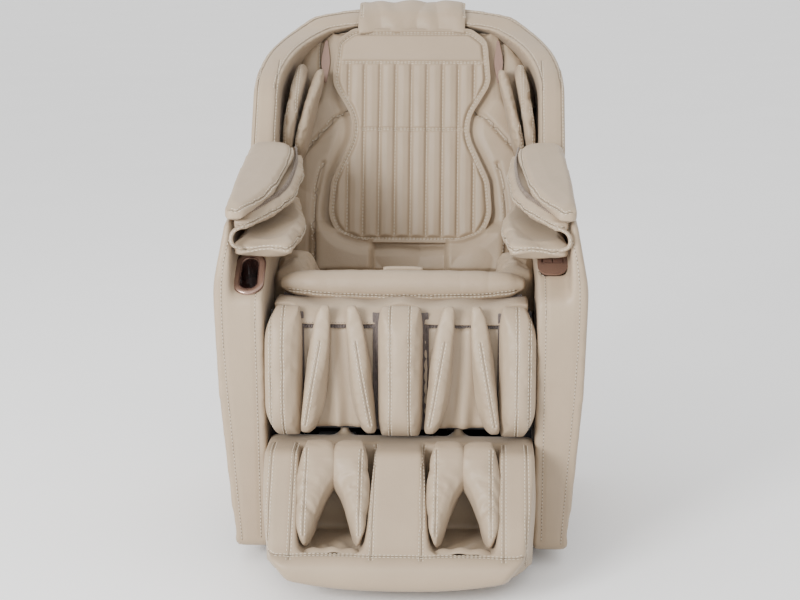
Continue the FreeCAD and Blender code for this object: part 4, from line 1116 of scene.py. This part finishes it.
def build_calf_flap(which, middle, inward):
    body = f"calf_flap_{which}_left"
    flap = soft(f"calf_flap_soft_{which}_left", [body], LEATHER_PUFFED, 0.004, 4, 0.0, 0.002)
    slope = math.tan(math.radians(10.0)) * (-1 if which == "outer" else 1)
    points = coords(flap)
    x, y, z = (points / MM).T
    across = x - middle - slope * (z - 430.5)
    back = unit((y + 400) / 36.0) ** 0.8
    share = unit((z - 296) / 268.0)
    tall = np.sin(math.pi * np.clip(share, 0.04, 0.97)) ** 0.5
    towards = unit(across * inward / 8.0) * (5.0 + 27.0 * (1 - share))
    away = unit(-across * inward / 8.0) * (3.0 + 17.0 * share)
    points[:, 0] += inward * (towards - away) * back * tall * MM
    tip = unit((z - 490) / 70.0) ** 2
    points[:, 2] += 16.0 * tip * MM
    points[:, 1] += 10.0 * tip * unit((-360 - y) / 40) * MM
    points[:, 0] += 5.0 * np.sin((z - 300) / 45.0) * (1 - back) * MM
    reshaped(flap, points)
    wrinkle(flap, 0.002, 13.0, 14)
    tree = tree_of(flap)
    centre = at(middle, -368, 435)
    edge = wrap(tree, centre, (0, -1, 0), (slope * 0.985, 0, 0.985), -78, 82, 90)
    seam(f"calf_flap_seam_{which}_left", flap, [edge], body, "leather_pad", depth=0.0015, width=0.0022,
         rows=(-0.004, 0.004))
    placed(flap, body, "leather_pad", (body,), 0.6)


def build_legrest():
    sides = soft("calf_sides_soft", ["calf_sides"], LEATHER_PUFFED, 0.005, 9, 0.001, 0.006)
    points = coords(sides)
    end = rounded_ends(points, 292, 573, 26.0, 80.0, -330)
    x, y, _ = (points / MM).T
    outward = unit((np.abs(x) - 225) / 52.0)
    points[:, 0] -= np.sign(x) * outward * (3.0 + 19.0 * end) * MM
    inside = unit((250 - np.abs(x)) / 10.0) * unit((y + 408) / 50.0)
    points[:, 0] -= np.sign(x) * inside * 17.0 * MM
    reshaped(sides, points)
    cushion_seams("calf_sides_seam", sides, (266, -266, 240, -240))
    placed(sides, "legrest", "leather_pad", ("calf_sides",), 0.75)
    divider = soft("calf_divider_soft", ["calf_divider"], LEATHER_PUFFED, 0.005, 9, 0.001, 0.006)
    points = coords(divider)
    rounded_ends(points, 292, 573, 22.0, 60.0, -330)
    x, y, _ = (points / MM).T
    points[:, 0] += np.sign(x) * unit((y + 408) / 50.0) * 11.0 * MM
    reshaped(divider, points)
    cushion_seams("calf_divider_seam", divider, (20, -20))
    placed(divider, "legrest", "leather_pad", ("calf_divider",), 0.75)

    lining = soft("calf_lining_soft", ["calf_lining"], LEATHER_SOFT, 0.005, 3, 0.0, 0.004)
    points = coords(lining)
    out = normals(lining)
    x, _, z = (points / MM).T
    across = (np.abs(x) - 128.5) / 90.0
    up = (z - 302) / 257.0
    points[:, 2] -= up * 30.0 * MM
    gather = (1 - up) ** 2
    folds = 6.0 * np.exp(-((across - 0.05 - 0.2 * up) / 0.2) ** 2) + 5.0 * gather * np.sin(across * 13 + 1.3) \
        + 4.0 * np.exp(-((across + 0.45 - 0.2 * up) / 0.12) ** 2) + 3.0 * up ** 3 * np.sin(across * 17 - 0.6)
    points[:, 1] -= np.where(out[:, 1] < -0.3, folds * (1 - 0.5 * np.abs(across)), 0.0) * MM
    reshaped(lining, points)
    wrinkle(lining, 0.004, 8.0, 12, (1.6, 1, 0.5))
    placed(lining, "legrest", "leather_pad", ("calf_lining",), 0.4)

    build_calf_flap("outer", 176, -1)
    build_calf_flap("inner", 80, 1)
    for label, side in SIDES:
        for number, (x0, x1) in enumerate(((222, 200), (40, 58))):
            placed(gusset(f"calf_mesh_{number}_{label}", side, x0, x1), "legrest", "leather_pad")
        top = [at(side * x, -339, 527) for x in range(40, 219, 8)]
        placed(pleated_ribbon(f"calf_top_mesh_{label}", top, 0.006, 0.0014, 0.006, MESH), "legrest", "leather_pad")


def gusset(name, side, x0, x1):
    """Gathered mesh fabric between a cushion and a flap, in the leg rest's channel."""
    rows = 30
    columns = 6
    vertices = []
    for row in range(rows + 1):
        share = row / rows
        z = 306 + (556 - 306) * share
        for column in range(columns + 1):
            t = column / columns
            x = x0 + (x1 - x0) * t
            sag = math.sin(math.pi * t) * 8 * math.sin(math.pi * share) ** 0.5
            fold = 2.2 * math.sin(row * 2.1 + 2.0 * math.sin(column * 1.3))
            y = -352 + 10 * t + sag + fold * math.sin(math.pi * t)
            vertices.append(at(side * x, y, z))
    obj = thickened(mesh_object(name, vertices, grid_faces(rows, columns), MESH), 0.0015)
    subdivided(obj)
    return obj


def sole_cover(name, side):
    """The loose leather floor of a foot well, swelling into a toe cushion at its front."""
    across, deep = 28, 36
    vertices = []
    for row in range(deep + 1):
        y = -376 - (550 - 376) * row / deep
        for column in range(across + 1):
            x = 64 + (201 - 64) * column / across
            dome = math.sin(math.pi * column / across) ** 0.5
            crest = 17.0 * bell(y, -538 + 10 * abs(column / across - 0.5), 20) * dome
            fold = 2.6 * math.sin(column * 0.75 + row * 0.32) * bell(row / deep, 0.75, 0.3)
            vertices.append(at(side * x, y, 97.5 + crest + fold * dome))
    return thickened(mesh_object(name, vertices, grid_faces(deep, across), LEATHER_SOFT), 0.002)


def build_footrest():
    box = soft("foot_box_soft", ["foot_box"], LEATHER_PUFFED, 0.0055, 12, -0.001, 0.0)
    points = coords(box)
    x, y, z = (points / MM).T
    front = unit((-480 - y) / 100.0)
    low = unit((112 - z) / 80.0)
    points[:, 2] += front * low * (26.0 * (np.abs(x) / 262.0) ** 2.5 - 3.0) * MM
    points[:, 0] *= 1 - 0.15 * low ** 1.3 * unit((-420 - y) / 100.0)
    points[:, 2] -= 4.0 * unit((z - 170) / 100.0) * MM
    middle = unit((95 - np.abs(x)) / 20.0) * unit((z - 110) / 150.0)
    points[:, 0] -= x * 0.16 * middle * MM
    belly = np.exp(-((z - 180) / 80) ** 2) * unit((np.abs(x) - 215) / 60.0)
    points[:, 0] += np.sign(x) * belly * 5.0 * MM
    set_coords(box, points)
    tree = tree_of(box)
    lines = []
    for x in (261, -261, 214, -214, 50, -50):
        start = -34 if abs(x) == 261 else 5
        lines.append(wrap(tree, at(x, -400, 90), (0, -1, 0), (0, 0, 1), start, 100, 90))
    lines.append(cast(tree, [at(x, -800, 111) for x in range(-258, 259, 8)], (0, 1, 0)))
    seam("foot_box_seam", box, longer(lines, 6), "footrest", "leather_pad", depth=0.003,
         width=0.004, rows=(-0.0045, 0.0045))
    placed(box, "footrest", "leather_pad", ("foot_box",), 0.8)
    for label, side in SIDES:
        placed(sole_cover(f"sole_cover_{label}", side), "footrest", "leather_pad", (), 0.4)
    for which in ("outer", "inner"):
        node = f"foot_flap_{which}_left"
        flap = soft(f"foot_flap_soft_{which}_left", [node], LEATHER_PUFFED, 0.004, 8, -0.001, 0.006, 5.0, finer=True)
        low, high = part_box(node)
        points = coords(flap)
        x, y, z = points.T
        ahead = unit((-0.41 - y) / 0.07) * unit((-y - 0.36) / 0.1)
        tall = unit((z - 0.125) / 0.11)
        inner = (high[0] - x if which == "outer" else x - low[0]) / (high[0] - low[0])
        bulge = unit(inner - 0.35) * tall * (1 - 0.6 * ahead) * 0.052
        points[:, 0] += bulge * (-1 if which == "outer" else 1)
        points[:, 2] += 0.006 * tall
        set_coords(flap, points)
        wrinkle(flap, 0.006, 9.0, 15)
        tree = tree_of(flap)
        x = low[0] + (high[0] - low[0]) * (0.72 if which == "outer" else 0.28)
        edge = wrap(tree, Vector((x, -0.45, 0.18)), (0, -1, 0), (0, 0, 1), -25, 100, 80)
        seam(f"foot_flap_seam_{which}_left", flap, [edge], node, "leather_pad", depth=0.0015, width=0.0025,
             rows=(-0.004, 0.004))
        placed(flap, node, "leather_pad", (node,), 0.6)


SHEET_THICKNESS = 0.0016
APRON_HALF = 262
BRIDGE_HALF = 198


def build_apron():
    """The leather that drops from under the seat roll on to the leg rest."""
    columns = 96
    profile = ((-224, 564), (-250, 563), (-280, 564), (-306, 564), (-326, 558), (-339, 542), (-342, 529))
    rows = smooth_line([Vector((0, y, z)) for y, z in profile], 5)
    vertices = []
    for point in rows:
        share = (rows[0].y - point.y) / (rows[0].y - rows[-1].y)
        for column in range(columns + 1):
            x = -APRON_HALF + 2 * APRON_HALF * column / columns
            beside = max(bell(abs(x), 250, 30), bell(x, 0, 36))
            fold = 3.0 * math.sin(abs(x) * 0.055 + 3.0 * share) * math.sin(math.pi * share)
            y = max(point.y, -319) if abs(x) > 221 or abs(x) < 34 else point.y
            vertices.append(at(x, y, point.z + fold + 10.0 * beside * share))
    apron = mesh_object("apron", vertices, grid_faces(len(rows) - 1, columns), LEATHER_SOFT)
    thickened(apron, SHEET_THICKNESS)
    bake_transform(apron)


def build_seat_bridge():
    """The slack leather that closes the gap between the seat's rear and the back's lower end."""
    columns = 66
    profile = ((86, 499), (102, 495), (122, 488), (142, 491), (158, 507), (172, 529))
    rows = smooth_line([Vector((0, y, z)) for y, z in profile], 4)
    vertices = []
    for number, point in enumerate(rows):
        share = number / (len(rows) - 1)
        for column in range(columns + 1):
            x = -BRIDGE_HALF + 2 * BRIDGE_HALF * column / columns
            fold = 2.5 * math.sin(abs(x) * 0.07 + 4.0 * share) * math.sin(math.pi * share)
            vertices.append(at(x, point.y, point.z + fold))
    bridge = mesh_object("seat_bridge", vertices, grid_faces(len(rows) - 1, columns), LEATHER_SOFT)
    thickened(bridge, SHEET_THICKNESS)
    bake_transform(bridge)


FINISH = {
    COVER: ("rear_cover",),
    POWDER: ("base_frame", "base_tray", "seat_frame", "back_frame", "legrest_frame", "carriage_chassis",
             "back_actuator_tube", "leg_actuator_tube"),
    STEEL: ("massage_arm_left", "massage_arm_right", "back_actuator_rod", "leg_actuator_rod", "levelling_feet"),
    RUBBER: ("roller_upper_left", "roller_upper_right", "roller_lower_left", "roller_lower_right",
             "foot_roller_shaft", "transport_wheels"),
    BLACK: ("control_box", "air_pump", "power_inlet", "rear_skirt"),
    ROSE: ("control_plate", "head_trims"),
    KEY_ROSE: ("recline_key", "legrest_key"),
    CUP: ("phone_pocket",),
}


def finish_hard_parts():
    for material, names in FINISH.items():
        for name in names:
            node = frame["nodes"][name]
            node.data.materials.clear()
            node.data.materials.append(material)


# ---- studio
def area_light(name, place, target, size, power):
    light = bpy.data.lights.new(name, "AREA")
    light.shape = "RECTANGLE"
    light.size, light.size_y = size
    light.energy = power
    obj = bpy.data.objects.new(name, light)
    obj.location = place
    obj.rotation_euler = (Vector(target) - Vector(place)).to_track_quat("-Z", "Y").to_euler()
    SCENE.collection.objects.link(obj)


FLOOR_HALF = 60
CAMERA_PLACE = (0.141, -3.780, 1.344)
CAMERA_LENS = 77.175
CAMERA_DOWN = 12.5
CAMERA_TURN = 2.37


def studio():
    floor_mesh = bpy.data.meshes.new("floor")
    corners = [(x * FLOOR_HALF, y * FLOOR_HALF, 0) for x, y in ((-1, -1), (1, -1), (1, 1), (-1, 1))]
    floor_mesh.from_pydata(corners, [], [(0, 1, 2, 3)])
    pale = Surface("floor_pale")
    pale.colour(pale.noise(1.5, 2.0), 0.3, 0.7, (0.95, 0.95, 0.95), (0.97, 0.97, 0.97))
    pale.done({"Roughness": 0.85})
    floor = add_object("floor", floor_mesh, pale.material)
    world = bpy.data.worlds.new("studio")
    world.use_nodes = True
    sky = world.node_tree.nodes["Background"]
    sky.inputs["Color"].default_value = (1.0, 1.0, 1.0, 1)
    sky.inputs["Strength"].default_value = 1.35
    SCENE.world = world
    area_light("key", (-2.7, -4.0, 1.9), (0, -0.1, 0.55), (1.6, 1.6), 330)
    area_light("fill", (1.0, -4.6, 2.4), (0, -0.1, 0.5), (1.4, 1.4), 18)
    area_light("top", (-0.6, 1.2, 3.4), (0, 0.1, 0.7), (2.0, 2.0), 18)
    camera = bpy.data.cameras.new("camera")
    camera.lens = CAMERA_LENS
    camera.sensor_width = 36.0
    view = bpy.data.objects.new("camera", camera)
    view.location = CAMERA_PLACE
    view.rotation_euler = (math.radians(90.0 - CAMERA_DOWN), 0.0, math.radians(CAMERA_TURN))
    SCENE.collection.objects.link(view)
    SCENE.camera = view


build_arm()
build_seat()
build_back()
build_legrest()
build_footrest()
mirrored_pieces()
build_apron()
build_seat_bridge()
build_pocket_ring()
finish_hard_parts()
studio()
